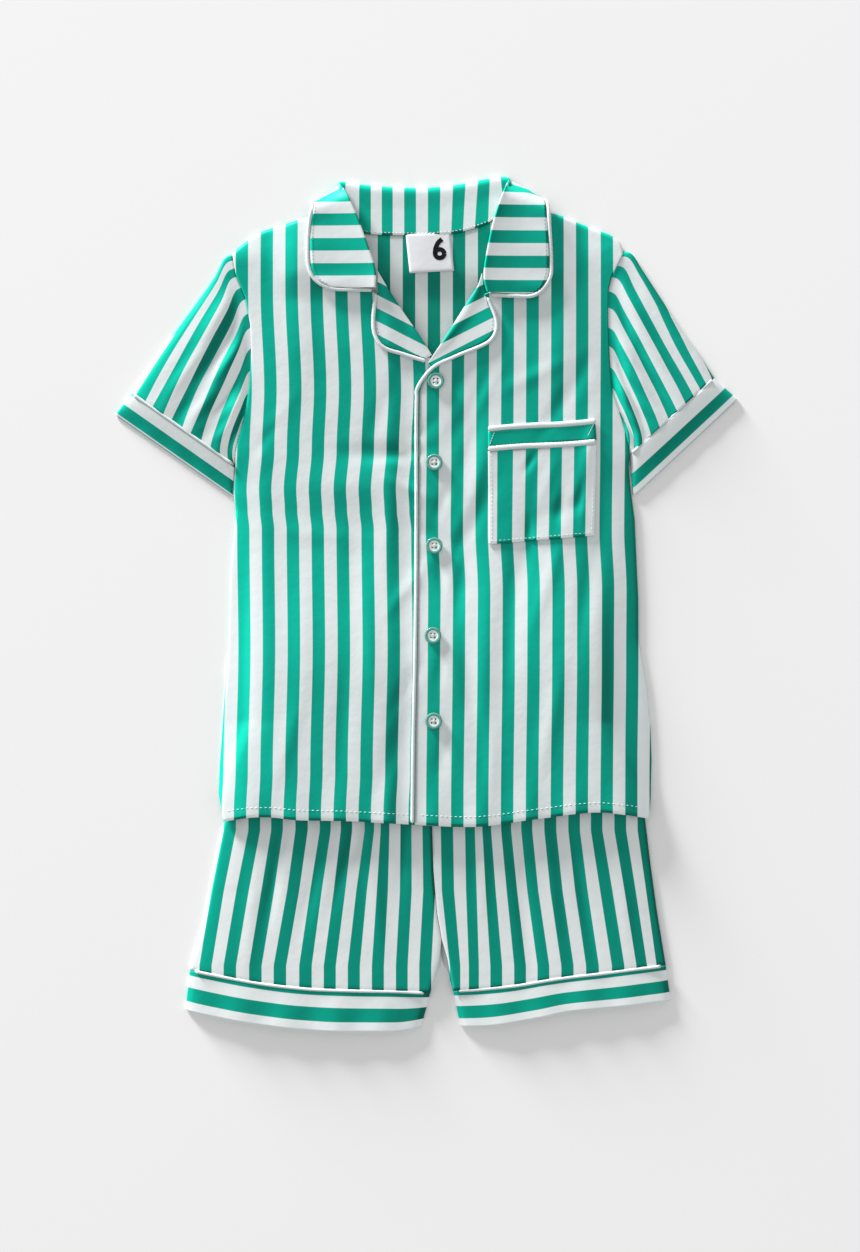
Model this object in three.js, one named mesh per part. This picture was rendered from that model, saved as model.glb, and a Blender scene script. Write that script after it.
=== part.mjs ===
// A child's short-sleeved pyjama shirt and its shorts, laid flat with the shorts tucked under the hem.
// Millimetres. +X is to the right of the view from above, +Y towards the collar, +Z up from the surface.
// Left and right in the names are the wearer's, so the left pieces lie at +X.
import * as THREE from 'three';

// Cloth and seams
const wall = 1.0;
const seamGap = 0.35;
const layGap = 0.6;
const trimGap = 0.75;
const lapelGap = 1.0;
const pipingRadius = 1.4;
const pipingInset = pipingRadius + seamGap;
const pipingClear = 0.5;
const collarClear = 1.0;
const cornerClear = 1.9;

// How far the cloth stands off what it lies on
const shirtFullness = 4.2;
const neckFullness = 2.3;
const rollWidth = 16;
const armholeRise = 2.0;
const overlapStep = 1.75;
const collarStep = 3.5;
const shortsFullness = 3.2;
const shortsStep = 7.6;
const edgeHeight = 2 * wall + 0.5;

// Levels of the collar's middle surface: sewn edge and fall, at the back of the neck and on the fronts
const standBack = 4.0;
const fallBack = 0.5 * wall;
const standFront = 7.3;
const fallFront = 10.0;

// Buttons
const buttonRadius = 6.7;
const buttonThickness = 2.2;
const buttonHoleRadius = 0.9;
const buttonHoleSpacing = 2.9;

// Outlines of the shirt's body, x and y, from the shoulder down or from the left of the view to the right
const bodySideRight = [
  [-153.6, 280], [-150.6, 262.8], [-143, 244.5], [-139.2, 223.2], [-138.4, 200], [-140, 174], [-143, 154.4],
  [-150.6, 123.2], [-152.9, 102.4], [-153.7, 85.6], [-151.8, 73.6], [-156.8, 27.2], [-158.4, -38.4],
  [-161.7, -84], [-164.8, -128.8], [-165.6, -151.2], [-161.6, -173.6],
];
const bodySideLeft = [
  [156, 280], [146.4, 260.3], [144, 249.6], [144, 225.6], [145.6, 192.8], [148, 168], [156, 143.6],
  [160.8, 127.2], [163.2, 94.4], [166.8, 67.2], [168, 40], [169.6, 4.8], [169.8, -28.8], [176.8, -69.6],
  [179.4, -99.2], [180.3, -124.8], [179.4, -156], [177.8, -171.2],
];
const shoulderRight = [
  [-153.6, 280], [-144.5, 288.1], [-133.8, 295.8], [-123.2, 300.3], [-113.8, 302.6], [-95, 308.5],
  [-72.8, 312.5],
];
const shoulderLeft = [
  [73.6, 315], [95, 312.5], [107.2, 310], [123.2, 303.6], [136.6, 298.7], [146.4, 294.6], [154.4, 288.1],
  [156, 280],
];
const backNeck = [
  [-65.8, 306.4], [-51, 296.8], [-24.8, 295.4], [0, 295.4], [23.6, 296.8], [45.8, 302.4], [64.4, 311.4],
];
const rightFrontEdge = [
  [-72.8, 312.5], [-70.6, 303], [-65, 286], [-57, 270], [-51, 258.5], [-47, 250.5], [-35, 246.5],
  [-23.4, 234.5],
  [-6.8, 211.5], [3, 197], [10, 190], [20, 180], [21, 165], [21, 60], [20.5, -60], [20, -177.3],
];
const leftFrontEdge = [
  [73.6, 315], [69.8, 303], [65.8, 286.5], [59.8, 270], [56.6, 259.5], [55, 250.5], [45, 247], [35.6, 238.5],
  [17, 211.5], [2.5, 190], [-1.5, 180], [-5, 168], [-5.9, 67], [-6.7, -28.8], [-8.3, -108.8],
  [-9.1, -175.6],
];
const hemRight = [
  [-161.6, -173.6], [-152, -172], [-140, -170.2], [-122.4, -170], [-104, -172], [-64, -172.8],
  [-24, -175], [0, -176.4], [20, -177.3],
];
const hemLeft = [
  [-9.1, -175.6], [21.6, -177.3], [40, -177.3], [59.2, -175.5], [78.8, -172.4], [98.4, -170],
  [118.4, -167.2], [138.4, -166], [158.4, -168], [177.8, -171.2],
];

// Outlines of the shorts
const legSideRight = [
  [-131.2, -94], [-148.8, -134], [-161, -174], [-165, -193.6], [-171.6, -227.2], [-178.4, -260],
  [-184.5, -289],
];
const legSideLeft = [
  [132.8, -94], [156, -136], [175, -171.2], [179.6, -209.6], [184.8, -247.2], [190.4, -286.6],
];
const innerLegRight = [
  [3.2, -94], [4.5, -180.8], [5.6, -212.8], [8.5, -247.2], [12.3, -268], [10.6, -284], [3.2, -308.6],
];
const innerLegLeft = [
  [3.6, -94], [4.9, -180.8], [6, -212.8], [8.9, -247.2], [12.7, -268], [17.3, -284], [21.8, -306.8],
];
const innerLegBackRight = [[3.2, -94], [6, -212.8], [12.5, -286], [9.8, -294], [3.2, -308.6]];
const innerLegBackLeft = [[3.6, -94], [6.4, -212.8], [12.9, -286], [17.6, -294], [21.8, -306.8]];
const legHemRight = [
  [-188.8, -292.6], [-144, -301.4], [-104, -306.8], [-64, -308.8], [-24, -309.6], [3.4, -310.8],
];
const legHemLeft = [[21.6, -309.2], [61.6, -306.4], [101.4, -300], [140.8, -295.2], [191.6, -288.8]];
const cuffHemRight = [
  [-192.4, -324.4], [-170.4, -329.2], [-130.4, -336], [-84, -340.6], [-37.6, -341.2], [-20.4, -340.8],
  [-3.6, -337.4],
];
const cuffHemLeft = [
  [27.6, -337.6], [51.2, -336.5], [88, -330.4], [114.4, -325], [154.4, -321.2], [195.5, -316.4],
];
const waist = { top: -69, bottom: -93.6, left: -128, right: 130 };

// Sleeves: the armhole, the top edge and the seam that carries the piping, each from the shoulder down
const sleeveRight = {
  armhole: [
    [-154.2, 279.3], [-151.3, 262.8], [-143.7, 244.5], [-139.9, 223.2], [-139.1, 200], [-140.7, 174],
    [-143.7, 154.4], [-151.3, 123.2], [-152.6, 117],
  ],
  top: [[-154.2, 279.3], [-160, 277.4], [-168.8, 261.6], [-184, 240], [-207.2, 208], [-233.4, 171]],
  seam: [[-235, 168.2], [-152.9, 110.6]],
  hem: [[-248.2, 151.6], [-154.8, 86.2]],
};
const sleeveLeft = {
  armhole: [
    [156.7, 281], [147.9, 260.3], [145.3, 249.6], [144.8, 225.6], [146.3, 192.8], [148.7, 168],
    [156.7, 143.6], [161.5, 127.2],
  ],
  top: [[156.7, 281], [163.2, 280], [172.5, 266.4], [201.6, 222], [221.6, 192.8], [228, 182.6]],
  seam: [[229.9, 180], [163.3, 119.4]],
  hem: [[248.2, 163.4], [166.4, 86.8]],
};

// Sections of the collar from its end on the right front round to its end on the left front: its neck seam,
// where it rolls, the middle of the fall and the fall's edge. over is 1 where the fall lies on the fronts and 0
// where it lies behind the neck.
const collarSections = [
  { neck: [-43.2, 253.6], roll: [-40.8, 252], middle: [-59.2, 252], edge: [-76, 253], over: 1 },
  { neck: [-48, 259.6], roll: [-40.4, 260.4], middle: [-64.8, 260], edge: [-86.4, 258.4], over: 1 },
  { neck: [-56, 270.4], roll: [-41.2, 268.8], middle: [-68, 268.8], edge: [-91.4, 268], over: 1 },
  { neck: [-64, 286.4], roll: [-47.2, 287.2], middle: [-70.4, 286.4], edge: [-92.4, 286.4], over: 1 },
  { neck: [-69.6, 303.2], roll: [-55.2, 308.8], middle: [-73.6, 305.6], edge: [-91.4, 303], over: 1 },
  { neck: [-71.6, 313.6], roll: [-61.6, 323], middle: [-76, 319.2], edge: [-89.4, 315.2], over: 0.95 },
  { neck: [-71.6, 316.8], roll: [-66.4, 332], middle: [-80.4, 325.2], edge: [-88, 321], over: 0.5 },
  { neck: [-69.6, 315.6], roll: [-68.4, 336.6], middle: [-80.4, 325], edge: [-82.4, 314], over: 0.12 },
  { neck: [-63.6, 308.4], roll: [-62, 336.4], middle: [-68.4, 318.4], edge: [-70.4, 297], over: 0 },
  { neck: [-49.6, 298.6], roll: [-49.6, 334.4], middle: [-49.6, 312], edge: [-50.4, 287.6], over: 0 },
  { neck: [-24.8, 297], roll: [-24.8, 332.4], middle: [-24.8, 307.2], edge: [-24.8, 283.2], over: 0 },
  { neck: [0, 297], roll: [0, 332], middle: [0, 307.2], edge: [0, 282.4], over: 0 },
  { neck: [23.2, 298.6], roll: [24.8, 334.4], middle: [24, 309.6], edge: [24.8, 284], over: 0 },
  { neck: [44.8, 304.6], roll: [47.2, 338.8], middle: [46.4, 315.2], edge: [48, 289.6], over: 0 },
  { neck: [62.4, 314.4], roll: [59.6, 340.7], middle: [67.2, 322.4], edge: [69.2, 300.6], over: 0 },
  { neck: [70.8, 319.6], roll: [66, 340], middle: [79.2, 330], edge: [86, 316.6], over: 0.12 },
  { neck: [73.4, 320], roll: [64.8, 335.4], middle: [81.6, 330], edge: [93.6, 323], over: 0.5 },
  { neck: [72.8, 316.8], roll: [60.4, 325], middle: [78, 321], edge: [95.6, 315], over: 0.95 },
  { neck: [69.2, 304], roll: [54, 305.6], middle: [76, 303.2], edge: [96.8, 297.6], over: 1 },
  { neck: [64.8, 287.2], roll: [49.6, 285.6], middle: [73.6, 283.2], edge: [98, 274], over: 1 },
  { neck: [58.2, 270.4], roll: [46.8, 268.8], middle: [72, 265.6], edge: [97.4, 261.6], over: 1 },
  { neck: [52.4, 260], roll: [46.4, 258.4], middle: [70.4, 256], edge: [92, 252], over: 1 },
  { neck: [51, 251.2], roll: [48.8, 248.4], middle: [68.8, 247.4], edge: [84.8, 247.4], over: 1 },
];

// Lapels: the roll line and the outer edge, from the collar down to the top button
const lapelRight = {
  roll: [[-39.1, 266.4], [-31, 253], [-21.6, 238.4], [-5.2, 214.4], [4.8, 198.6]],
  edge: [[-38.4, 247], [-40.4, 226.4], [-39.2, 215.2], [-33.6, 206.4], [-17.6, 200.8], [0, 196.2]],
};
const lapelLeft = {
  roll: [[44.6, 263.6], [40.8, 253], [33.2, 241.3], [15.5, 213.2], [1.6, 192.4]],
  edge: [[47.4, 244], [54.2, 226.4], [54.2, 218.4], [50.2, 211.2], [23.2, 199], [4.2, 189.4]],
};
const frontPipingLeft = [
  [-7.3, 171], [-7.7, 150], [-7.7, 67], [-8.5, -28.8], [-10.1, -108.8], [-10.9, -174.6],
];
const lapelPipingEnd = [-0.4, 193.8];

// Soft ridges and troughs of the shirt's front: half length and half width, turned anticlockwise from +X
const shirtFolds = [
  { x: -39, y: 121, long: 28, wide: 7, turn: 2, high: -1.4 },
  { x: -61, y: 94, long: 45, wide: 14, turn: -4, high: 1.1 },
  { x: -4, y: 139, long: 16, wide: 6, turn: 35, high: -0.8 },
  { x: 2, y: 57, long: 20, wide: 6, turn: -24, high: -0.8 },
  { x: 25, y: 143, long: 22, wide: 7, turn: 62, high: -1.1 },
  { x: 76, y: 35, long: 50, wide: 9, turn: 74, high: -1.2 },
  { x: 68, y: -26, long: 44, wide: 8, turn: 84, high: -1.1 },
  { x: 111, y: 76, long: 16, wide: 7, turn: 22, high: -0.8 },
  { x: -101, y: 236, long: 66, wide: 13, turn: 88, high: 0.9 },
  { x: -24, y: -112, long: 34, wide: 8, turn: 72, high: -1.4 },
  { x: 107, y: 210, long: 50, wide: 11, turn: 80, high: 0.8 },
  { x: -130, y: 20, long: 90, wide: 9, turn: 91, high: 0.8 },
  { x: 138, y: -70, long: 80, wide: 10, turn: 88, high: 0.8 },
];
const hemWaves = { count: 9, first: -142, step: 37, long: 26, wide: 10, high: 1.0 };

// Long folds of the sleeves: where they start and end across the tube, from its top edge, and their height
const sleeveFolds = [
  { start: 0.3, end: 0.22, wide: 0.09, high: -1.6 },
  { start: 0.45, end: 0.4, wide: 0.08, high: 1.3 },
  { start: 0.62, end: 0.62, wide: 0.08, high: -1.4 },
  { start: 0.8, end: 0.84, wide: 0.07, high: 1.0 },
];

// Gathers of each leg below the waistband, across the leg from its outer seam
const legGathers = [
  { across: 0.08, wide: 0.03, high: 1.0, reach: 150 },
  { across: 0.19, wide: 0.04, high: -1.1, reach: 120 },
  { across: 0.31, wide: 0.035, high: 1.2, reach: 190 },
  { across: 0.43, wide: 0.04, high: -1.2, reach: 210 },
  { across: 0.55, wide: 0.035, high: 1.1, reach: 150 },
  { across: 0.66, wide: 0.04, high: -1.2, reach: 180 },
  { across: 0.79, wide: 0.035, high: 1.2, reach: 140 },
  { across: 0.91, wide: 0.03, high: -0.9, reach: 110 },
];

// Pocket, its turned band and its two rows of piping, left and right in the view
const pocket = {
  left: 49.4, right: 136, topLeft: 120, topRight: 126.4, bottomLeft: 47.4, bottomRight: 54.6,
  bandLow: [126.4, 132.4], bandHigh: [136.2, 142.4], pipingLow: [123.4, 129.4], pipingHigh: [139.4, 145.8],
};
const buttonPlaces = [[7.8, 177.9], [6.6, 113], [6.6, 46.4], [5.5, -25.1], [6.1, -93.1]];
const label = { left: [-16.3, 295], right: [19.2, 297], drop: 31, lean: 3.2 };

// Materials
const satin = new THREE.MeshStandardMaterial({ color: '#12a98f', roughness: 0.42, metalness: 0 });
const trim = new THREE.MeshStandardMaterial({ color: '#e9efee', roughness: 0.5, metalness: 0 });
const shell = new THREE.MeshStandardMaterial({ color: '#dcebe6', roughness: 0.12, metalness: 0 });
const ribbon = new THREE.MeshStandardMaterial({ color: '#f2f2f2', roughness: 0.7, metalness: 0 });

const pyjamas = new THREE.Group();

function addPiece(name, geometry, material) {
  const piece = new THREE.Mesh(geometry, material);
  piece.name = name;
  pyjamas.add(piece);
}

const clamp = (value) => Math.min(1, Math.max(0, value));
const mix = (a, b, t) => a + (b - a) * t;
const ease = (value) => clamp(value) ** 2 * (3 - 2 * clamp(value));
const fractions = (count) => Array.from({ length: count + 1 }, (_, i) => i / count);
// Rows of the shirt's body, closer together beside the armholes and where it rises over the shorts
const rowSpans = [[0, 0.4, 10], [0.4, 0.62, 4], [0.62, 0.78, 7], [0.78, 1, 4]];
const bodyRows = rowSpans.flatMap(([start, end, count], i) => (
  fractions(count).slice(i ? 1 : 0).map((t) => mix(start, end, t))
));

// Value of one column of an outline where another column has the given value
function lookUp(outline, from, to, value) {
  const rising = outline[outline.length - 1][from] > outline[0][from];
  const rows = rising ? outline : [...outline].reverse();
  if (value <= rows[0][from]) return rows[0][to];
  const next = rows.findIndex((row) => row[from] >= value);
  if (next < 0) return rows[rows.length - 1][to];
  const before = rows[next - 1];
  return mix(before[to], rows[next][to], (value - before[from]) / (rows[next][from] - before[from]));
}
const xAt = (outline, y) => lookUp(outline, 1, 0, y);
const yAt = (outline, x) => lookUp(outline, 0, 1, x);

function smoothCurve(outline) {
  const points = outline.map(([x, y, z = 0]) => new THREE.Vector3(x, y, z));
  const curve = new THREE.CatmullRomCurve3(points, false, 'centripetal');
  return (t) => curve.getPointAt(clamp(t)).toArray();
}

const resampled = (outline, count) => fractions(count).map(smoothCurve(outline));

// A side that is followed by its height, so that the rows of a panel stay level
function levelSide(outline) {
  const top = outline[0][1];
  const bottom = outline[outline.length - 1][1];
  return (t) => [xAt(outline, mix(top, bottom, t)), mix(top, bottom, t)];
}

// Places on a panel between four edges: across from left to right, down from top to bottom
function panelPlan(top, bottom, left, right) {
  const corner = [top(0), top(1), bottom(0), bottom(1)];
  return (across, down) => [0, 1].map((axis) => {
    const ruled = mix(top(across)[axis], bottom(across)[axis], down)
      + mix(left(down)[axis], right(down)[axis], across);
    const high = mix(corner[0][axis], corner[1][axis], across);
    const low = mix(corner[2][axis], corner[3][axis], across);
    return ruled - mix(high, low, down);
  });
}

// A closed solid between two layers of points, each a list of rows. Around joins each row's end to its start.
function layeredSolid(outer, inner, around = false) {
  const rows = outer.length;
  const columns = outer[0].length;
  const spans = around ? columns : columns - 1;
  const index = (layer, i, j) => (layer * rows + i) * columns + (j % columns);
  const faces = [];
  const quad = (a, b, c, d) => faces.push([a, b, c], [a, c, d]);
  for (let i = 0; i < rows - 1; i += 1) {
    for (let j = 0; j < spans; j += 1) {
      quad(index(0, i, j), index(0, i, j + 1), index(0, i + 1, j + 1), index(0, i + 1, j));
      quad(index(1, i, j), index(1, i + 1, j), index(1, i + 1, j + 1), index(1, i, j + 1));
    }
    if (!around) {
      quad(index(0, i, 0), index(0, i + 1, 0), index(1, i + 1, 0), index(1, i, 0));
      quad(index(0, i, spans), index(1, i, spans), index(1, i + 1, spans), index(0, i + 1, spans));
    }
  }
  for (let j = 0; j < spans; j += 1) {
    quad(index(0, 0, j), index(1, 0, j), index(1, 0, j + 1), index(0, 0, j + 1));
    quad(index(0, rows - 1, j), index(0, rows - 1, j + 1), index(1, rows - 1, j + 1), index(1, rows - 1, j));
  }
  const points = [...outer.flat(), ...inner.flat()];
  const volume = faces.reduce((sum, [a, b, c]) => {
    const [p, q, r] = [a, b, c].map((i) => new THREE.Vector3(...points[i]));
    return sum + p.dot(q.cross(r));
  }, 0);
  const outward = volume > 0 ? faces : faces.map(([a, b, c]) => [a, c, b]);
  const geometry = new THREE.BufferGeometry();
  geometry.setAttribute('position', new THREE.Float32BufferAttribute(points.flat(), 3));
  geometry.setIndex(outward.flat());
  geometry.computeVertexNormals();
  return geometry;
}

// A flat-lying sheet: plan gives x and y, under gives the height of its underside
function sheet(plan, under, columns, rows) {
  const low = rows.map((down) => fractions(columns).map((across) => {
    const [x, y] = plan(across, down);
    return [x, y, under(x, y, across, down)];
  }));
  const high = low.map((row) => row.map(([x, y, z]) => [x, y, z + wall]));
  return layeredSolid(high, low);
}

// A sheet given by its middle surface, which may roll over on itself
function rolledSheet(middle, thickness) {
  const at = (i, j) => new THREE.Vector3(...middle[i][j]);
  const last = middle.length - 1;
  const end = middle[0].length - 1;
  const side = (sign) => middle.map((row, i) => row.map((_, j) => {
    const along = at(Math.min(i + 1, last), j).sub(at(Math.max(i - 1, 0), j));
    const across = at(i, Math.min(j + 1, end)).sub(at(i, Math.max(j - 1, 0)));
    const normal = along.cross(across).normalize();
    return at(i, j).addScaledVector(normal, sign * thickness / 2).toArray();
  }));
  return layeredSolid(side(1), side(-1));
}

// A flattened tube: plan gives x and y for the place across it and along it, top gives its upper height
const tubeStations = [0.07, 0.16, 0.27, 0.38, 0.5, 0.62, 0.73, 0.84, 0.93];
function flatTube(plan, top, rings, stations = tubeStations) {
  const ring = (along, inset) => {
    const [start, end] = [plan(0, along), plan(1, along)];
    const width = Math.hypot(end[0] - start[0], end[1] - start[1]);
    const point = (across, z) => [...plan(across, along), z];
    const rim = (inset + 0.1) / width;
    const shoulder = (inset + 0.8) / width;
    const middle = edgeHeight / 2;
    const upper = stations.map((across) => point(across, top(across, along) - inset));
    const lower = stations.map((across) => point(across, inset)).reverse();
    return [
      point(rim, middle), point(shoulder, edgeHeight - inset), ...upper,
      point(1 - shoulder, edgeHeight - inset), point(1 - rim, middle),
      point(1 - shoulder, inset), ...lower, point(shoulder, inset),
    ];
  };
  const outer = fractions(rings).map((along) => ring(along, 0));
  const inner = fractions(rings).map((along) => ring(along, wall));
  return layeredSolid(outer, inner, true);
}

function cord(points, radius, steps) {
  const path = new THREE.CatmullRomCurve3(points.map((p) => new THREE.Vector3(...p)), false, 'centripetal');
  const section = new THREE.Shape(new THREE.EllipseCurve(0, 0, radius, radius).getPoints(6).slice(0, 6));
  return new THREE.ExtrudeGeometry(section, { extrudePath: path, steps, bevelEnabled: false });
}

function closedCord(points, radius, steps) {
  const path = new THREE.CatmullRomCurve3(points.map((p) => new THREE.Vector3(...p)), true, 'centripetal');
  return new THREE.TubeGeometry(path, steps, radius, 6, true);
}

// Heights of the shorts, which the shirt lies on
function gather(across, y) {
  return legGathers.reduce((sum, fold) => {
    const fade = ease(1 - (waist.bottom - y) / fold.reach);
    return sum + fold.high * fade * Math.exp(-(((across - fold.across) / fold.wide) ** 2));
  }, 0);
}
function legUnder(x, y, across) {
  const inset = Math.min(x - xAt(legSideRight, y), xAt(legSideLeft, y) - x);
  const swell = shortsFullness * (1 - Math.exp(-Math.max(0, inset) / rollWidth));
  return wall + layGap + swell + gather(across, y) * ease(inset / rollWidth);
}

// Heights of the shirt
const foldHeight = (x, y, fold) => {
  const turn = THREE.MathUtils.degToRad(fold.turn);
  const along = (x - fold.x) * Math.cos(turn) + (y - fold.y) * Math.sin(turn);
  const beside = (y - fold.y) * Math.cos(turn) - (x - fold.x) * Math.sin(turn);
  return fold.high * Math.exp(-((along / fold.long) ** 2) - (beside / fold.wide) ** 2);
};
const hemFolds = Array.from({ length: hemWaves.count }, (_, i) => (
  { ...hemWaves, x: hemWaves.first + i * hemWaves.step, y: yAt(hemLeft, 0), turn: 90 }
));
const allFolds = [...shirtFolds, ...hemFolds];

function bodyInset(x, y) {
  const side = Math.min(x - xAt(bodySideRight, y), xAt(bodySideLeft, y) - x);
  const shoulder = (x < 0 ? yAt(shoulderRight, x) : yAt(shoulderLeft, x)) - y;
  return Math.max(0, Math.min(side, shoulder));
}
function backUnder(x, y) {
  const overWaist = ease((waist.top + 50 - y) / 38);
  const legInset = Math.min(x - xAt(legSideRight, y), xAt(legSideLeft, y) - x);
  const overLeg = mix(0.4, 1, 1 - Math.exp(-Math.max(0, legInset + 14) / rollWidth));
  const beside = ease((legInset + 28) / 24);
  const overFall = ease((y - 240) / 28) * ease((128 - Math.abs(x)) / 28);
  return shortsStep * overWaist * overLeg * beside + collarStep * overFall;
}
const backTop = (x, y) => backUnder(x, y) + wall;
function frontUnder(x, y) {
  const inset = bodyInset(x, y);
  const full = mix(shirtFullness, neckFullness, ease((y - 200) / 60));
  const edge = Math.exp(-inset / rollWidth);
  const armhole = armholeRise * ease((y - 96) / 24) * ease((292 - y) / 20) * edge;
  const folds = allFolds.reduce((sum, fold) => sum + foldHeight(x, y, fold), 0);
  return backTop(x, y) + layGap + full * (1 - edge) + armhole + folds * ease(inset / 20);
}
const rightFrontUnder = (x, y) => frontUnder(x, y) - overlapStep * ease((x + 32) / 18);
const rightFrontTop = (x, y) => rightFrontUnder(x, y) + wall;
const leftFrontTop = (x, y) => frontUnder(x, y) + wall;

// Shirt: back and fronts
const backTopEdge = smoothCurve([...shoulderRight, ...backNeck, ...shoulderLeft]);
const backHem = smoothCurve([...hemRight.slice(0, -2), ...hemLeft.slice(1)]);
addPiece('back', sheet(
  panelPlan(backTopEdge, backHem, levelSide(bodySideRight), levelSide(bodySideLeft)), backUnder, 22, bodyRows,
), satin);
addPiece('front_right', sheet(
  panelPlan(
    smoothCurve(shoulderRight), smoothCurve(hemRight), levelSide(bodySideRight), levelSide(rightFrontEdge),
  ),
  rightFrontUnder, 10, bodyRows,
), satin);
addPiece('front_left', sheet(
  panelPlan(
    smoothCurve(shoulderLeft), smoothCurve(hemLeft), levelSide(leftFrontEdge), levelSide(bodySideLeft),
  ),
  frontUnder, 10, bodyRows,
), satin);

// Collar: sewn edge, stand, roll, fall and edge of each section
function collarSection({ neck, roll, middle, edge, over }) {
  const stand = mix(standBack, standFront, over);
  const fall = mix(fallBack, fallFront, over);
  const turned = Math.sign(fall - stand) || 1;
  const place = (a, b, t, z) => [mix(a[0], b[0], t), mix(a[1], b[1], t), z];
  const apart = Math.abs(fall - stand);
  const lift = apart < 2.2 ? (2.2 - apart) / 2 * turned : 0;
  return [
    [...neck, stand - lift], place(neck, roll, 0.55, stand - lift), place(neck, roll, 0.9, stand - lift),
    [...roll, (stand + fall) / 2], place(roll, middle, 0.12, fall + lift),
    [...middle, fall + lift], [...edge, fall + lift],
  ];
}
const collarMiddle = collarSections.map(collarSection);
addPiece('collar', rolledSheet(collarMiddle, wall), satin);

// The collar's piping follows the ends and the edge of the fall, moved out
function collarPipingPath() {
  const rollColumn = 4;
  const edgeColumn = 6;
  const end = (row, next) => [rollColumn, 5].map((column) => {
    const here = new THREE.Vector3(...collarMiddle[row][column]);
    const away = here.clone().sub(new THREE.Vector3(...collarMiddle[next][column])).setZ(0).normalize();
    return here.addScaledVector(away, pipingInset + collarClear).toArray();
  });
  const last = collarMiddle.length - 1;
  const edge = collarMiddle.map((row, i) => {
    const here = new THREE.Vector3(...row[edgeColumn]);
    const away = here.clone().sub(new THREE.Vector3(...row[edgeColumn - 1])).normalize();
    const corner = i === 0 || i === last;
    if (corner) {
      const next = new THREE.Vector3(...collarMiddle[i === 0 ? 1 : last - 1][edgeColumn]);
      away.add(here.clone().sub(next).normalize());
    }
    return here.addScaledVector(away, pipingInset + (corner ? cornerClear : collarClear)).toArray();
  });
  const path = [...end(0, 1), ...edge, ...end(last, last - 1).reverse()];
  return path.map(([x, y, z]) => [x, y, Math.max(z + pipingClear, pipingRadius + 0.1)]);
}
addPiece('collar_piping', cord(collarPipingPath(), pipingRadius, 64), trim);

// Lapels lie on the fronts and rise towards the collar's ends
function lapel(outline, under) {
  const [roll, edge] = [smoothCurve(outline.roll), smoothCurve(outline.edge)];
  const plan = (across, down) => [0, 1].map((axis) => mix(roll(down)[axis], edge(down)[axis], across));
  return sheet(plan, (x, y) => under(x, y) + lapelGap, 4, fractions(7));
}
addPiece('lapel_right', lapel(lapelRight, rightFrontTop), satin);
addPiece('lapel_left', lapel(lapelLeft, leftFrontTop), satin);

// Piping set on a surface, a little outside the edge that it follows
function movedOut(outline, centre) {
  return outline.map(([x, y], i) => {
    const before = outline[Math.max(i - 1, 0)];
    const after = outline[Math.min(i + 1, outline.length - 1)];
    const along = new THREE.Vector2(after[0] - before[0], after[1] - before[1]).normalize();
    const out = [-along.y, along.x];
    const sign = Math.sign(out[0] * (x - centre[0]) + out[1] * (y - centre[1]));
    const step = sign * (pipingInset + pipingClear);
    return [x + out[0] * step, y + out[1] * step];
  });
}
const rightLapelPiping = [...movedOut(lapelRight.edge.slice(0, -1), [-20, 225]), lapelPipingEnd];
addPiece('front_piping_right', cord(
  rightLapelPiping.map(([x, y]) => [x, y, rightFrontTop(x, y) + lapelGap + pipingRadius]), pipingRadius, 22,
), trim);
const leftLapelPiping = movedOut(lapelLeft.edge, [30, 220]).map(([x, y]) => (
  [x, y, leftFrontTop(x, y) + lapelGap + pipingRadius]
));
const leftEdgePiping = resampled(frontPipingLeft, 22).map(([x, y]) => (
  [x, y, frontUnder(x + pipingInset, y) + pipingRadius]
));
addPiece('front_piping_left', cord([...leftLapelPiping, ...leftEdgePiping], pipingRadius, 52), trim);

// Sleeves and their cuffs are flattened tubes with the piping's ring between them
function sleeve(name, { armhole, top, seam, hem }) {
  const direction = new THREE.Vector2(seam[1][0] - seam[0][0], seam[1][1] - seam[0][1]).normalize();
  const inward = new THREE.Vector2(-direction.y, direction.x);
  if (inward.y < 0) inward.negate();
  const shifted = (step) => seam.map(([x, y]) => [x + inward.x * step, y + inward.y * step]);
  const upperSeam = shifted(pipingInset);
  const lowerSeam = shifted(-pipingInset);
  const underarm = [armhole[armhole.length - 1], upperSeam[1]];
  const topEdge = [...top.slice(0, -1), upperSeam[0]];
  const plan = panelPlan(
    smoothCurve(armhole), smoothCurve(upperSeam), smoothCurve(topEdge), smoothCurve(underarm),
  );
  const height = (across, along) => {
    const full = mix(0.5, 3.6, ease(along / 0.35)) * Math.sqrt(1 - Math.abs(2 * across - 1) ** 3);
    const folds = sleeveFolds.reduce((sum, fold) => {
      const centre = mix(fold.start, fold.end, along);
      return sum + fold.high * Math.exp(-(((across - centre) / fold.wide) ** 2));
    }, 0);
    return edgeHeight + Math.max(0, full + folds * ease(along / 0.3) * mix(1, 0.35, along));
  };
  addPiece(`sleeve_${name}`, flatTube(plan, height, 6), satin);
  const cuffPlan = panelPlan(
    smoothCurve(lowerSeam), smoothCurve(hem),
    smoothCurve([lowerSeam[0], hem[0]]), smoothCurve([lowerSeam[1], hem[1]]),
  );
  const cuffHeight = (across) => edgeHeight + 3.3 * Math.sqrt(1 - Math.abs(2 * across - 1) ** 3);
  addPiece(`cuff_${name}`, flatTube(cuffPlan, cuffHeight, 2), satin);
  addPiece(`cuff_piping_${name}`, pipingRing(smoothCurve(seam), cuffHeight, 24), trim);
}

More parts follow.
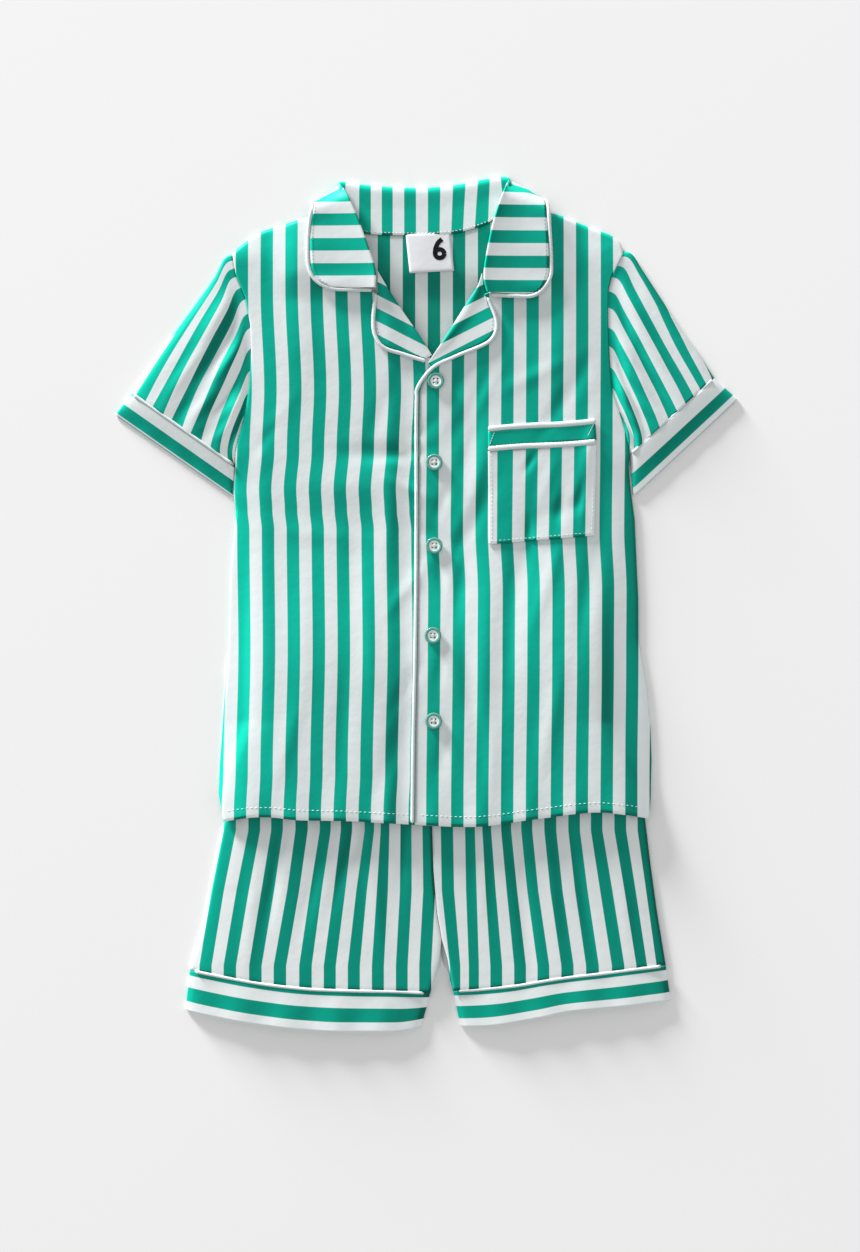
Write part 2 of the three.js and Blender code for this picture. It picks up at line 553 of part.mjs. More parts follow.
// A ring of piping round a flattened tube, along a seam
function pipingRing(seam, height, steps) {
  const stations = [0.03, 0.12, 0.3, 0.5, 0.7, 0.88, 0.97];
  const flat = (t) => seam(t).slice(0, 2);
  const lift = (t) => Math.max(height(t) - pipingRadius * 0.6, 3 * pipingRadius + 2 * seamGap);
  const upper = stations.map((t) => [...flat(t), lift(t)]);
  const lower = [...stations].reverse().map((t) => [...flat(t), pipingRadius + seamGap]);
  return closedCord([...upper, ...lower], pipingRadius, steps);
}
sleeve('right', sleeveRight);
sleeve('left', sleeveLeft);

// Pocket, band and piping lie on the left front
function onLeftFront(corners, columns, rows) {
  const plan = (across, down) => [0, 1].map((axis) => mix(
    mix(corners[0][axis], corners[1][axis], across), mix(corners[2][axis], corners[3][axis], across), down,
  ));
  return sheet(plan, (x, y) => leftFrontTop(x, y) + trimGap, columns, fractions(rows));
}
addPiece('pocket', onLeftFront([
  [pocket.left, pocket.topLeft], [pocket.right, pocket.topRight],
  [pocket.left + 0.6, pocket.bottomLeft], [pocket.right - 1.6, pocket.bottomRight],
], 7, 6), satin);
addPiece('pocket_band', onLeftFront([
  [pocket.left, pocket.bandHigh[0]], [pocket.right - 1, pocket.bandHigh[1]],
  [pocket.left, pocket.bandLow[0]], [pocket.right, pocket.bandLow[1]],
], 7, 2), satin);
const pocketPiping = { pocket_piping_top: pocket.pipingHigh, pocket_piping_low: pocket.pipingLow };
for (const [name, [start, end]] of Object.entries(pocketPiping)) {
  const points = fractions(6).map((t) => {
    const [x, y] = [mix(pocket.left, pocket.right - 0.6, t), mix(start, end, t)];
    return [x, y, leftFrontTop(x, y) + layGap + pipingRadius];
  });
  addPiece(name, cord(points, pipingRadius, 12), trim);
}

// Buttons rest on the left front
const circle = (x, y, radius, sides) => (
  new THREE.EllipseCurve(x, y, radius, radius).getPoints(sides).slice(0, sides)
);
const disc = new THREE.Shape(circle(0, 0, buttonRadius, 20));
for (const [x, y] of [[1, 1], [-1, 1], [-1, -1], [1, -1]]) {
  const place = buttonHoleSpacing / 2;
  disc.holes.push(new THREE.Path(circle(x * place, y * place, buttonHoleRadius, 6)));
}
const buttonShape = new THREE.ExtrudeGeometry(disc, { depth: buttonThickness, bevelEnabled: false });
buttonPlaces.forEach(([x, y], i) => {
  const around = fractions(11).map((t) => leftFrontTop(
    x + buttonRadius * Math.cos(2 * Math.PI * t), y + buttonRadius * Math.sin(2 * Math.PI * t),
  ));
  const base = Math.max(leftFrontTop(x, y), ...around);
  addPiece(`button_${i + 1}`, buttonShape.clone().translate(x, y, base + layGap), shell);
});

// Neck label on the inside of the back
addPiece('label', sheet((across, down) => [
  mix(label.left[0], label.right[0], across) + label.lean * down,
  mix(label.left[1], label.right[1], across) - label.drop * down,
], (x, y) => backTop(x, y) + seamGap, 3, fractions(3)), ribbon);

// Shorts: backs flat on the surface, fronts gathered over them
function leg(name, outer, inner, innerBack, hem) {
  const right = name === 'right';
  const waistLine = [outer[0], [inner[0][0], inner[0][1]]];
  const order = (a, b) => (right ? [a, b] : [b, a]);
  const top = smoothCurve(order(...waistLine));
  const frontHem = smoothCurve(hem);
  const ends = [hem[0], hem[hem.length - 1]];
  const side = (outline, end) => levelSide([...outline.slice(0, -1), end]);
  const [outerEnd, innerEnd] = order(ends[0], ends[1]);
  const plan = (innerEdge) => {
    const edges = order(side(outer, outerEnd), side(innerEdge, innerEnd));
    return panelPlan(top, frontHem, edges[0], edges[1]);
  };
  const fromOuter = (across) => (right ? across : 1 - across);
  const frontUnderside = (x, y, across) => legUnder(x, y, fromOuter(across));
  addPiece(`shorts_front_${name}`, sheet(plan(inner), frontUnderside, 20, fractions(7)), satin);
  addPiece(`shorts_back_${name}`, sheet(plan(innerBack), () => 0, 5, fractions(7)), satin);
}
const upperHemRight = legHemRight.map(([x, y]) => [x, y + pipingInset]);
leg('right', legSideRight, innerLegRight, innerLegBackRight, upperHemRight);
leg('left', legSideLeft, innerLegLeft, innerLegBackLeft, legHemLeft.map(([x, y]) => [x, y + pipingInset]));

function shortsCuff(name, seam, hem) {
  const lowered = seam.map(([x, y]) => [x, y - pipingInset]);
  const plan = panelPlan(
    smoothCurve(lowered), smoothCurve(hem),
    smoothCurve([lowered[0], hem[0]]), smoothCurve([lowered[lowered.length - 1], hem[hem.length - 1]]),
  );
  const height = (across) => edgeHeight + 3.4 * Math.sqrt(1 - Math.abs(2 * across - 1) ** 3);
  addPiece(`shorts_cuff_${name}`, flatTube(plan, height, 2), satin);
  addPiece(`shorts_cuff_piping_${name}`, pipingRing(smoothCurve(seam), height, 28), trim);
}
shortsCuff('right', legHemRight, cuffHemRight);
shortsCuff('left', legHemLeft, cuffHemLeft);

// Waistband, a flattened ring gathered by its elastic
const waistPlan = (across, along) => [
  mix(waist.left, waist.right, across), mix(waist.top, waist.bottom, along),
];
const waistHeight = (across) => edgeHeight + 2.2 + 0.5 * Math.cos(across * 16 * Math.PI);
addPiece('waistband', flatTube(waistPlan, waistHeight, 1, fractions(32).slice(1, -1)), satin);

export default pyjamas;
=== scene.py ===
import bmesh
import bpy
import math
from mathutils import Matrix, Vector


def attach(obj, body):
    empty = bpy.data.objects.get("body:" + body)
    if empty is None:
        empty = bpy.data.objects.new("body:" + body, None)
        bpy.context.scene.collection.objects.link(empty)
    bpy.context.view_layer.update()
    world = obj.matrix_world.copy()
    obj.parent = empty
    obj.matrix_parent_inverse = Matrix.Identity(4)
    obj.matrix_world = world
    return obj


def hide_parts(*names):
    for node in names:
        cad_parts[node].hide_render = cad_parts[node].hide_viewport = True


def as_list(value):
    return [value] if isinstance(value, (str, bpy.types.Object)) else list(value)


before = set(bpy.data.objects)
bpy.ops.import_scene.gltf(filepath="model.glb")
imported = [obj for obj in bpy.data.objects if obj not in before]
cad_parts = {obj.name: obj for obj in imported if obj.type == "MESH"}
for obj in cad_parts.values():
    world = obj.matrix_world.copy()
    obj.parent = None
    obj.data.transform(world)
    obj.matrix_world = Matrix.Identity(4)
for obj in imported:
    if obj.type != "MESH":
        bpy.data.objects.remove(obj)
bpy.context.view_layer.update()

# Tables are in millimetres in the frame of the CAD model, and every mesh is made in metres
mm = 0.001
wall = 1.0
layGap = 0.6
pipingRadius = 1.4
pipingInset = 1.75

# Camera straight above, with +Y upwards in the picture
cameraData = bpy.data.cameras.new("camera")
cameraData.lens = 85
cameraData.sensor_fit = "VERTICAL"
cameraData.sensor_height = 36
camera = bpy.data.objects.new("camera", cameraData)
bpy.context.collection.objects.link(camera)
camera.location = (0.0032, -0.0176, 2.365)
bpy.context.scene.camera = camera
bpy.context.scene.view_settings.view_transform = "Standard"


def clamp(value):
    return min(1.0, max(0.0, value))


def mix(a, b, t):
    return a + (b - a) * t


def ease(value):
    return clamp(value) ** 2 * (3 - 2 * clamp(value))


def bell(value, wide):
    return math.exp(-((value / wide) ** 2))


# Value of one column of an outline where another column has the given value, soft for gentle turns at its rows
def lookUp(outline, source, target, value, soft=False):
    rows = outline if outline[-1][source] > outline[0][source] else outline[::-1]
    if value <= rows[0][source]:
        return rows[0][target]
    for before, after in zip(rows, rows[1:]):
        if value <= after[source]:
            share = (value - before[source]) / (after[source] - before[source])
            return mix(before[target], after[target], ease(share) if soft else share)
    return rows[-1][target]


def xAt(outline, y):
    return lookUp(outline, 1, 0, y)


def yAt(outline, x):
    return lookUp(outline, 0, 1, x)


# Cubic between two numbers or places with the given slopes
def cubic(start, startSlope, end, endSlope, t):
    return (
        start * (2 * t**3 - 3 * t**2 + 1) + startSlope * (t**3 - 2 * t**2 + t)
        + end * (3 * t**2 - 2 * t**3) + endSlope * (t**3 - t**2)
    )


# Smooth curve through points of two or three columns, followed evenly from 0 to 1
def smoothCurve(outline, steps=12):
    points = [Vector((*p, 0)[:3]) for p in outline]
    points = [points[0] * 2 - points[1], *points, points[-1] * 2 - points[-2]]
    dense = []
    for p, q, r, s in zip(points, points[1:], points[2:], points[3:]):
        a, b, c = (max((v - u).length ** 0.5, 1e-4) for u, v in ((p, q), (q, r), (r, s)))
        startSlope = ((q - p) / a - (r - p) / (a + b) + (r - q) / b) * b
        endSlope = ((r - q) / b - (s - q) / (b + c) + (s - r) / c) * b
        dense += [cubic(q, startSlope, r, endSlope, k / steps) for k in range(steps)]
    dense.append(points[-2])
    reach = [0.0]
    for p, q in zip(dense, dense[1:]):
        reach.append(reach[-1] + (q - p).length)

    def at(t):
        wanted = clamp(t) * reach[-1]
        low, high = 0, len(reach) - 1
        while high - low > 1:
            middle = (low + high) // 2
            low, high = (middle, high) if reach[middle] <= wanted else (low, middle)
        span = max(reach[high] - reach[low], 1e-9)
        return dense[low].lerp(dense[high], (wanted - reach[low]) / span)

    return at


# A side that is followed by its height, so that the rows of a panel stay level. over is how far it reaches over
# the sleeve above the armhole's lower end.
def levelSide(outline, over=0.0):
    top, bottom = outline[0][1], outline[-1][1]

    def side(t):
        y = mix(top, bottom, t)
        return Vector((xAt(outline, y) + over * ease((y - 108) / 12), y, 0))

    return side


# Places on a panel between four edges, curves or points: across from left to right, down from top to bottom
def panelPlan(*edges):
    top, bottom, left, right = (edge if callable(edge) else smoothCurve(edge) for edge in edges)
    corners = [top(0), top(1), bottom(0), bottom(1)]

    def plan(across, down):
        ruled = top(across).lerp(bottom(across), down) + left(down).lerp(right(down), across)
        return ruled - corners[0].lerp(corners[1], across).lerp(corners[2].lerp(corners[3], across), down)

    return plan


def fourCorners(topLeft, topRight, bottomLeft, bottomRight):
    corners = [Vector((*p, 0)) for p in (topLeft, topRight, bottomLeft, bottomRight)]
    return lambda across, down: (
        corners[0].lerp(corners[1], across).lerp(corners[2].lerp(corners[3], across), down)
    )


# Outlines of the shirt's body, from the shoulder down or from the left of the view to the right
bodySideRight = [
    (-153.6, 280), (-150.6, 262.8), (-143, 244.5), (-139.2, 223.2), (-138.4, 200), (-140, 174),
    (-143, 154.4), (-150.6, 123.2), (-152.9, 102.4), (-153.7, 85.6), (-151.8, 73.6), (-156.8, 27.2),
    (-158.4, -38.4), (-161.7, -84), (-164.8, -128.8), (-165.6, -151.2), (-161.6, -173.6),
]
bodySideLeft = [
    (156, 280), (146.4, 260.3), (144, 249.6), (144, 225.6), (145.6, 192.8), (148, 168), (156, 143.6),
    (160.8, 127.2), (163.2, 94.4), (166.8, 67.2), (168, 40), (169.6, 4.8), (169.8, -28.8), (176.8, -69.6),
    (179.4, -99.2), (180.3, -124.8), (179.4, -156), (177.8, -171.2),
]
shoulderRight = [
    (-153.6, 280), (-144.5, 288.1), (-133.8, 295.8), (-123.2, 300.3), (-113.8, 302.6), (-95, 308.5),
    (-72.8, 312.5),
]
shoulderLeft = [
    (73.6, 315), (95, 312.5), (107.2, 310), (123.2, 303.6), (136.6, 298.7), (146.4, 294.6), (154.4, 288.1),
    (156, 280),
]
backNeck = [
    (-65.8, 306.4), (-51, 296.8), (-24.8, 295.4), (0, 295.4), (23.6, 296.8), (45.8, 302.4), (64.4, 311.4),
]
rightFrontEdge = [
    (-72.8, 312.5), (-70.6, 303), (-65, 286), (-57, 270), (-51, 258.5), (-47, 250.5), (-35, 246.5),
    (-23.4, 234.5), (-6.8, 211.5), (3, 197), (10, 190), (20, 180), (21, 165), (21, 60), (20.5, -60),
    (20, -177.3),
]
leftFrontEdge = [
    (73.6, 315), (69.8, 303), (65.8, 286.5), (59.8, 270), (56.6, 259.5), (55, 250.5), (45, 247),
    (35.6, 238.5), (17, 211.5), (2.5, 190), (-1.5, 180), (-5, 168), (-5.9, 67), (-6.7, -28.8),
    (-8.3, -108.8), (-9.1, -175.6),
]
hemRight = [
    (-161.6, -173.6), (-152, -172), (-140, -170.2), (-122.4, -170), (-104, -172), (-64, -172.8),
    (-24, -175), (0, -176.4), (20, -177.3),
]
hemLeft = [
    (-9.1, -175.6), (21.6, -177.3), (40, -177.3), (59.2, -175.5), (78.8, -172.4), (98.4, -170),
    (118.4, -167.2), (138.4, -166), (158.4, -168), (177.8, -171.2),
]

# Outlines of the shorts
legSideRight = [
    (-131.2, -94), (-148.8, -134), (-161, -174), (-165, -193.6), (-171.6, -227.2), (-178.4, -260),
    (-184.5, -289),
]
legSideLeft = [
    (132.8, -94), (156, -136), (175, -171.2), (179.6, -209.6), (184.8, -247.2), (190.4, -286.6),
]
innerLegRight = [
    (3.2, -94), (4.5, -180.8), (5.6, -212.8), (8.5, -247.2), (12.3, -268), (10.6, -284), (3.2, -308.6),
]
innerLegLeft = [
    (3.6, -94), (4.9, -180.8), (6, -212.8), (8.9, -247.2), (12.7, -268), (17.3, -284), (21.8, -306.8),
]
innerLegBackRight = [(3.2, -94), (6, -212.8), (12.5, -286), (9.8, -294), (3.2, -308.6)]
innerLegBackLeft = [(3.6, -94), (6.4, -212.8), (12.9, -286), (17.6, -294), (21.8, -306.8)]
legHemRight = [
    (-188.8, -292.6), (-144, -301.4), (-104, -306.8), (-64, -308.8), (-24, -309.6), (3.4, -310.8),
]
legHemLeft = [(21.6, -309.2), (61.6, -306.4), (101.4, -300), (140.8, -295.2), (191.6, -288.8)]
cuffHemRight = [
    (-192.4, -324.4), (-170.4, -329.2), (-130.4, -336), (-84, -340.6), (-37.6, -341.2), (-20.4, -340.8),
    (-3.6, -337.4),
]
cuffHemLeft = [
    (27.6, -337.6), (51.2, -336.5), (88, -330.4), (114.4, -325), (154.4, -321.2), (195.5, -316.4),
]
waist = {"top": -69, "bottom": -93.6, "left": -128, "right": 130}

# Folds: middle x and y, reach along and beside, turn in degrees, height
shirtFolds = [
    (-39, 121, 28, 7, 2, -1.4), (-61, 94, 45, 14, -4, 1.1), (-4, 139, 16, 6, 35, -0.8),
    (2, 57, 20, 6, -24, -0.8), (25, 143, 22, 7, 62, -1.1), (76, 35, 50, 9, 74, -1.2),
    (68, -26, 44, 8, 84, -1.1), (111, 76, 16, 7, 22, -0.8), (-101, 236, 66, 13, 88, 0.9),
    (-24, -112, 34, 8, 72, -1.4), (107, 210, 50, 11, 80, 0.8), (-130, 20, 90, 9, 91, 0.8),
    (138, -70, 80, 10, 88, 0.4),
]
hemWaves = [(-142 + 37 * i, -174, 26, 10, 90, 1.0) for i in range(9)]
# Finer creases of the fronts
creases = [
    (-118, 146, 26, 6, 58, 0.5), (-128, 132, 20, 5, 50, -0.7), (-36, 152, 26, 7, 70, -0.7),
    (-20, 120, 20, 5, 8, -1.2), (24, 172, 20, 8, 70, -1.4), (36, 128, 22, 6, 74, -1.3),
    (28, 16, 30, 7, 80, -1.2), (48, -30, 60, 7, 88, 0.8), (140, 60, 60, 8, 88, -0.4),
    (-30, 60, 40, 7, 84, 0.7), (-44, -40, 46, 7, 94, 0.7), (-14, 92, 22, 5, -24, 0.9),
    (-88, 56, 44, 8, -8, 0.5), (-58, 30, 40, 9, 84, -0.6), (-98, -30, 50, 8, 88, 0.6),
    (-66, -92, 50, 8, 86, -0.7), (-110, -110, 40, 7, 74, 0.7), (-16, -66, 24, 5, 62, -1.0),
    (-14, 14, 24, 5, 52, 0.9), (-20, -140, 40, 6, 86, -0.9), (14, 84, 16, 4, 70, -0.9),
    (12, 22, 16, 4, 96, -0.9), (12, -50, 16, 4, 84, -0.8), (14, -118, 20, 5, 80, -0.9),
    (36, 150, 30, 6, 66, -1.2), (46, 165, 28, 5, 62, 0.9), (40, 96, 32, 6, 72, 0.9),
    (34, 60, 34, 6, 60, -1.1), (98, 20, 36, 6, 72, 0.9), (128, 10, 44, 7, 80, -1.0),
    (100, -92, 40, 7, 78, 0.9), (34, -62, 36, 6, 98, -0.9), (52, -130, 30, 6, 88, 0.8),
    (112, 166, 34, 6, 56, -1.0), (86, 182, 28, 6, 26, 0.8), (128, 120, 30, 5, 76, 0.8),
]
# Gathers below the waistband: share across a leg, width, height and how far down they reach
legGathers = [
    (0.08, 0.03, 1.0, 150), (0.19, 0.04, -1.1, 120), (0.31, 0.035, 1.2, 190), (0.43, 0.04, -1.2, 210),
    (0.55, 0.035, 1.1, 150), (0.66, 0.04, -1.2, 180), (0.79, 0.035, 1.2, 140), (0.91, 0.03, -0.9, 110),
]


def foldHeights(x, y, folds):
    total = 0.0
    for middleX, middleY, long, wide, turn, high in folds:
        cos, sin = math.cos(math.radians(turn)), math.sin(math.radians(turn))
        along = (x - middleX) * cos + (y - middleY) * sin
        beside = (y - middleY) * cos - (x - middleX) * sin
        reach = (along / long) ** 2 + (beside / wide) ** 2
        if reach < 8:
            total += high * math.exp(-reach)
    return total


def legInset(x, y):
    return min(x - xAt(legSideRight, y), xAt(legSideLeft, y) - x)


def legUnder(x, y, across):
    inset = legInset(x, y)
    swell = 3.2 * (1 - math.exp(-max(0, inset) / 16))
    gathers = sum(
        high * ease(1 - (waist["bottom"] - y) / reach) * bell(across - middle, wide)
        for middle, wide, high, reach in legGathers
    )
    return wall + layGap + swell + gathers * ease(inset / 16)


def bodyInset(x, y):
    side = min(x - xAt(bodySideRight, y), xAt(bodySideLeft, y) - x)
    shoulder = yAt(shoulderRight if x < 0 else shoulderLeft, x) - y
    return max(0, min(side, shoulder))


def backUnder(x, y):
    inset = legInset(x, y)
    overWaist = ease((70 - y) / 135)
    overLeg = mix(0.4, 1, 1 - math.exp(-max(0, inset + 14) / 16))
    overFall = ease((y - 240) / 28) * ease((128 - abs(x)) / 28)
    return 7.6 * overWaist * overLeg * ease((inset + 28) / 24) + 3.5 * overFall


def frontUnder(x, y):
    inset = bodyInset(x, y)
    full = mix(4.2, 2.3, ease((y - 200) / 60))
    edge = math.exp(-inset / 16)
    armhole = 2.0 * ease((y - 96) / 24) * ease((292 - y) / 20) * edge
    folds = foldHeights(x, y, shirtFolds + hemWaves) + foldHeights(x, y, creases)
    return backUnder(x, y) + wall + layGap + full * (1 - edge) + armhole + folds * ease(inset / 20)


def rightFrontUnder(x, y):
    return frontUnder(x, y) - 1.75 * ease((x + 32) / 18)


def rightFrontTop(x, y):
    return rightFrontUnder(x, y) + wall


def leftFrontTop(x, y):
    return frontUnder(x, y) + wall


# Materials. A pattern group gives masks and normals, and the shader itself stays in each material.
def nodeGroup(name, inputs, outputs):
    group = bpy.data.node_groups.new(name, "ShaderNodeTree")
    for way, sockets in (("INPUT", inputs), ("OUTPUT", outputs)):
        for socket, kind in sockets.items():
            group.interface.new_socket(socket, in_out=way, socket_type="NodeSocket" + kind)
    return group, group.nodes.new("NodeGroupInput"), group.nodes.new("NodeGroupOutput")


# Node with its settings, and with inputs that are values or other nodes' outputs
def addNode(tree, kind, inputs, **settings):
    node = tree.nodes.new("ShaderNode" + kind)
    for setting, value in settings.items():
        setattr(node, setting, value)
    for socket, value in inputs.items():
        if isinstance(value, bpy.types.NodeSocket):
            tree.links.new(value, node.inputs[socket])
        else:
            node.inputs[socket].default_value = value
    return node


def mathNode(tree, operation, first, second=0.5, clamped=False):
    node = addNode(tree, "Math", {0: first, 1: second}, operation=operation, use_clamp=clamped)
    return node.outputs[0]


# Green where the stripe number is within a quarter of a half
def makeStripeGroup():
    group, start, end = nodeGroup("stripePattern", {"place": "Vector"}, {"green": "Float"})
    split = addNode(group, "SeparateXYZ", {0: start.outputs[0]})
    share = mathNode(group, "FRACT", split.outputs[0])
    distance = mathNode(group, "ABSOLUTE", mathNode(group, "SUBTRACT", share, 0.5))
    inside = mathNode(group, "SUBTRACT", 0.25, distance)
    soft = mathNode(group, "MULTIPLY", inside, 60.0)
    group.links.new(mathNode(group, "ADD", soft, 0.5, clamped=True), end.inputs[0])
    return group


# Fine satin floats and a soft unevenness of the cloth
def makeWeaveGroup():
    group, start, end = nodeGroup("satinWeave", {"place": "Vector", "depth": "Float"}, {"normal": "Vector"})
    place, depth = start.outputs[0], start.outputs[1]
    stretch = addNode(group, "Mapping", {"Vector": place, "Scale": (2600, 420, 900)})
    floats = addNode(group, "TexNoise", {"Vector": stretch.outputs[0], "Scale": 1, "Detail": 2})
    uneven = addNode(group, "TexNoise", {"Vector": place, "Scale": 55, "Detail": 3})
    fine = addNode(group, "Bump", {"Distance": 0.00005, "Strength": depth, "Height": floats.outputs[0]})
    broad = addNode(group, "Bump", {
        "Distance": 0.0011, "Strength": 0.35, "Height": uneven.outputs[0], "Normal": fine.outputs[0],
    })
    group.links.new(broad.outputs[0], end.inputs[0])
    return group


# How far the cloth faces the key lamp, from 0 to 1, which drives the painted light and shade of the striped
# cloth
def makePaintedLightGroup():
    group, start, end = nodeGroup("paintedLampLight", {"normal": "Vector"}, {"facing": "Float"})
    # direction toward the key lamp
    lampWay = (-0.6, 0.76, 0.25)
    side = addNode(group, "VectorMath", {0: start.outputs[0], 1: lampWay}, operation="DOT_PRODUCT")
    spread = mathNode(group, "MULTIPLY", side.outputs["Value"], 1.9)
    group.links.new(mathNode(group, "ADD", spread, 0.03, clamped=True), end.inputs[0])
    return group


stripeGroup = makeStripeGroup()
paintedLightGroup = makePaintedLightGroup()
weaveGroup = makeWeaveGroup()


def newMaterial(name, color, roughness, weave=0.0):
    material = bpy.data.materials.new(name)
    material.use_nodes = True
    tree = material.node_tree
    shader = tree.nodes["Principled BSDF"]
    shader.inputs["Base Color"].default_value = (*color, 1)
    shader.inputs["Roughness"].default_value = roughness
    shader.inputs["Specular IOR Level"].default_value = 0.08
    if weave:
        place = addNode(tree, "TexCoord", {})
        grain = addNode(tree, "Group", {0: place.outputs["Object"], 1: weave}, node_tree=weaveGroup)
        tree.links.new(grain.outputs[0], shader.inputs["Normal"])
    return material


def blended(tree, share, first, second):
    first, second = ((*color, 1) if isinstance(color, tuple) else color for color in (first, second))
    return addNode(tree, "Mix", {0: share, 6: first, 7: second}, data_type="RGBA").outputs[2]


# Painted light: the greens are darker where the cloth turns from the key lamp and brighter where it turns
# toward it, painted shade and highlight, and the whites are lighter where it turns from the lamp, painted light
# that keeps them even
def makeStripedSatin(name, greenTurnedFromLamp, greenTurnedToLamp, whiteTurnedFromLamp, whiteTurnedToLamp):
    material = newMaterial(name, whiteTurnedFromLamp, 0.4, 0.3)
    tree = material.node_tree
    layer = addNode(tree, "UVMap", {}, uv_map="stripes")
    pattern = addNode(tree, "Group", {0: layer.outputs[0]}, node_tree=stripeGroup)
    turned = addNode(tree, "TexCoord", {})
    lampFacing = addNode(tree, "Group", {0: turned.outputs["Normal"]}, node_tree=paintedLightGroup)
    green = blended(tree, lampFacing.outputs[0], greenTurnedFromLamp, greenTurnedToLamp)
    white = blended(tree, lampFacing.outputs[0], whiteTurnedFromLamp, whiteTurnedToLamp)
    shader = tree.nodes["Principled BSDF"]
    tree.links.new(blended(tree, pattern.outputs[0], white, green), shader.inputs["Base Color"])
    return material


# Each striped satin gets a green and a white for cloth turned from the key lamp and a green and a white for
# cloth turned toward it: painted light and shade
materials = {
    "striped": makeStripedSatin(
        "stripedSatin", (0.0004, 0.19, 0.135), (0.003, 0.48, 0.345),
        (0.84, 0.89, 0.895), (0.53, 0.575, 0.58),
    ),
    # Copy of the striped satin for the shorts and their cuffs: its darker greens are painted shade, and its
    # slightly lighter whites are painted light that offsets the shadow of the shirt's hem
    "shadedCopy": makeStripedSatin(
        "stripedSatinShadedCopy", (0.0004, 0.13, 0.09), (0.002, 0.41, 0.295),
        (0.85, 0.90, 0.90), (0.60, 0.645, 0.64),
    ),
    # Darker copy of the striped satin for the back panel's inner face: painted shade for the inside of the
    # shirt seen through the neck opening
    "inside": makeStripedSatin(
        "stripedSatinShadedInside", (0.0004, 0.15, 0.105), (0.003, 0.34, 0.24),
        (0.68, 0.73, 0.73), (0.55, 0.60, 0.60),
    ),
    "piping": newMaterial("pipingSatin", (0.64, 0.685, 0.69), 0.5, 0.3),
    "thread": newMaterial("whiteThread", (0.70, 0.75, 0.75), 0.6),
    "greenThread": newMaterial("greenThread", (0.004, 0.30, 0.21), 0.6),
    "label": newMaterial("labelRibbon", (0.72, 0.735, 0.76), 0.75, 0.2),
    "ink": newMaterial("labelInk", (0.01, 0.01, 0.012), 0.7),
    "pearl": newMaterial("pearlButton", (0.80, 0.85, 0.84), 0.16),
    "rim": newMaterial("clearRim", (0.16, 0.50, 0.42), 0.08),
    # near-black walls of the button holes: painted shade inside the holes
    "holeShade": newMaterial("buttonHolePaintedShade", (0.03, 0.035, 0.035), 0.5),
    "floor": newMaterial("floorPaper", (0.90, 0.90, 0.90), 0.9),
}
for name, socket, value in (
    ("pearl", "Specular IOR Level", 0.6), ("pearl", "Coat Weight", 0.6), ("pearl", "Coat Roughness", 0.08),
    ("rim", "Specular IOR Level", 0.6), ("rim", "Transmission Weight", 0.5),
):
    materials[name].node_tree.nodes["Principled BSDF"].inputs[socket].default_value = value


# Object from a net in millimetres, which is used up
def meshObject(name, net, material, smooth=True):
    mesh = bpy.data.meshes.new(name)
    net.to_mesh(mesh)
    net.free()
    mesh.transform(Matrix.Scale(mm, 4))
    if smooth:
        mesh.polygons.foreach_set("use_smooth", [True] * len(mesh.polygons))
    mesh.materials.append(material)
    made = bpy.data.objects.new(name, mesh)
    bpy.context.collection.objects.link(made)
    return made


def thicken(piece, thickness=wall, offset=-1):
    shell = piece.modifiers.new("thickness", "SOLIDIFY")
    shell.thickness = thickness * mm
    shell.offset = offset
    shell.use_rim = True


def areaOf(piece):
    return sum(face.area for face in piece.data.polygons)


# Grid whose places and stripes come from a share across and a share down
def gridPiece(name, columns, rows, place, stripes, material, around=False):
    net = bmesh.new()
    bmesh.ops.create_grid(net, x_segments=columns, y_segments=rows, size=0.5)
    layer = net.loops.layers.uv.new("stripes")
    shares = {v.index: (v.co.x + 0.5, 0.5 - v.co.y) for v in net.verts}
    marks = {}
    for vert in net.verts:
        across, down = shares[vert.index]
        vert.co = Vector(place(across, down))
        marks[vert.index] = stripes(vert.co.x, vert.co.y, across, down)
    for face in net.faces:
        for loop in face.loops:
            loop[layer].uv = marks[loop.vert.index]
    if around:
        bmesh.ops.remove_doubles(net, verts=net.verts, dist=0.001)
    return meshObject(name, net, material)


pieces = {}


def keep(piece, nodes):
    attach(piece, "root")
    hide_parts(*nodes)
    pieces[piece.name] = piece
    return piece


# Rounded cord along points, flattened at its ends
def cordPiece(name, points, radius, steps, nodes, closed=False, wide=1.0):
    curve = smoothCurve(points)
    centres = [curve(i / steps) for i in range(steps + 1)]

    def place(across, down):
        i = round(down * steps)
        if closed and i == steps:
            i = 0
        before = centres[i - 1] if closed else centres[max(i - 1, 0)]
        after = centres[(i + 1) % steps] if closed else centres[min(i + 1, steps)]
        along = (after - before).normalized()
        side = along.cross(Vector((0, 0, 1))).normalized()
        lift = side.cross(along)
        turn = 2 * math.pi * across
        thin = 0.1 if not closed and i in (0, steps) else 1 + 0.05 * math.sin(i * 1.7) * math.sin(i * 0.43)
        out = side * math.cos(turn) * wide + lift * (0.75 * math.sin(turn) - 0.25)
        return centres[i] + out * radius * thin

    piece = gridPiece(name, 10, steps, place, lambda x, y, a, d: (a, d), materials["piping"], around=True)
    keep(piece, nodes)


# Sheet that lies on what is under it: top gives the height of its upper face
def lyingSheet(name, plan, top, columns, rows, stripes, nodes, thickness=wall, cloth="striped"):
    edge = 0.35

    def place(across, down):
        point = plan(across, down)
        rim = min(across * columns, (1 - across) * columns, down * rows, (1 - down) * rows)
        height = top(point.x, point.y, across, down) - edge * max(0, 1 - rim) * thickness
        return point.x, point.y, max(height, thickness + 0.05)

    piece = gridPiece(name, columns, rows, place, stripes, materials[cloth])
    thicken(piece, thickness)
    return keep(piece, nodes)


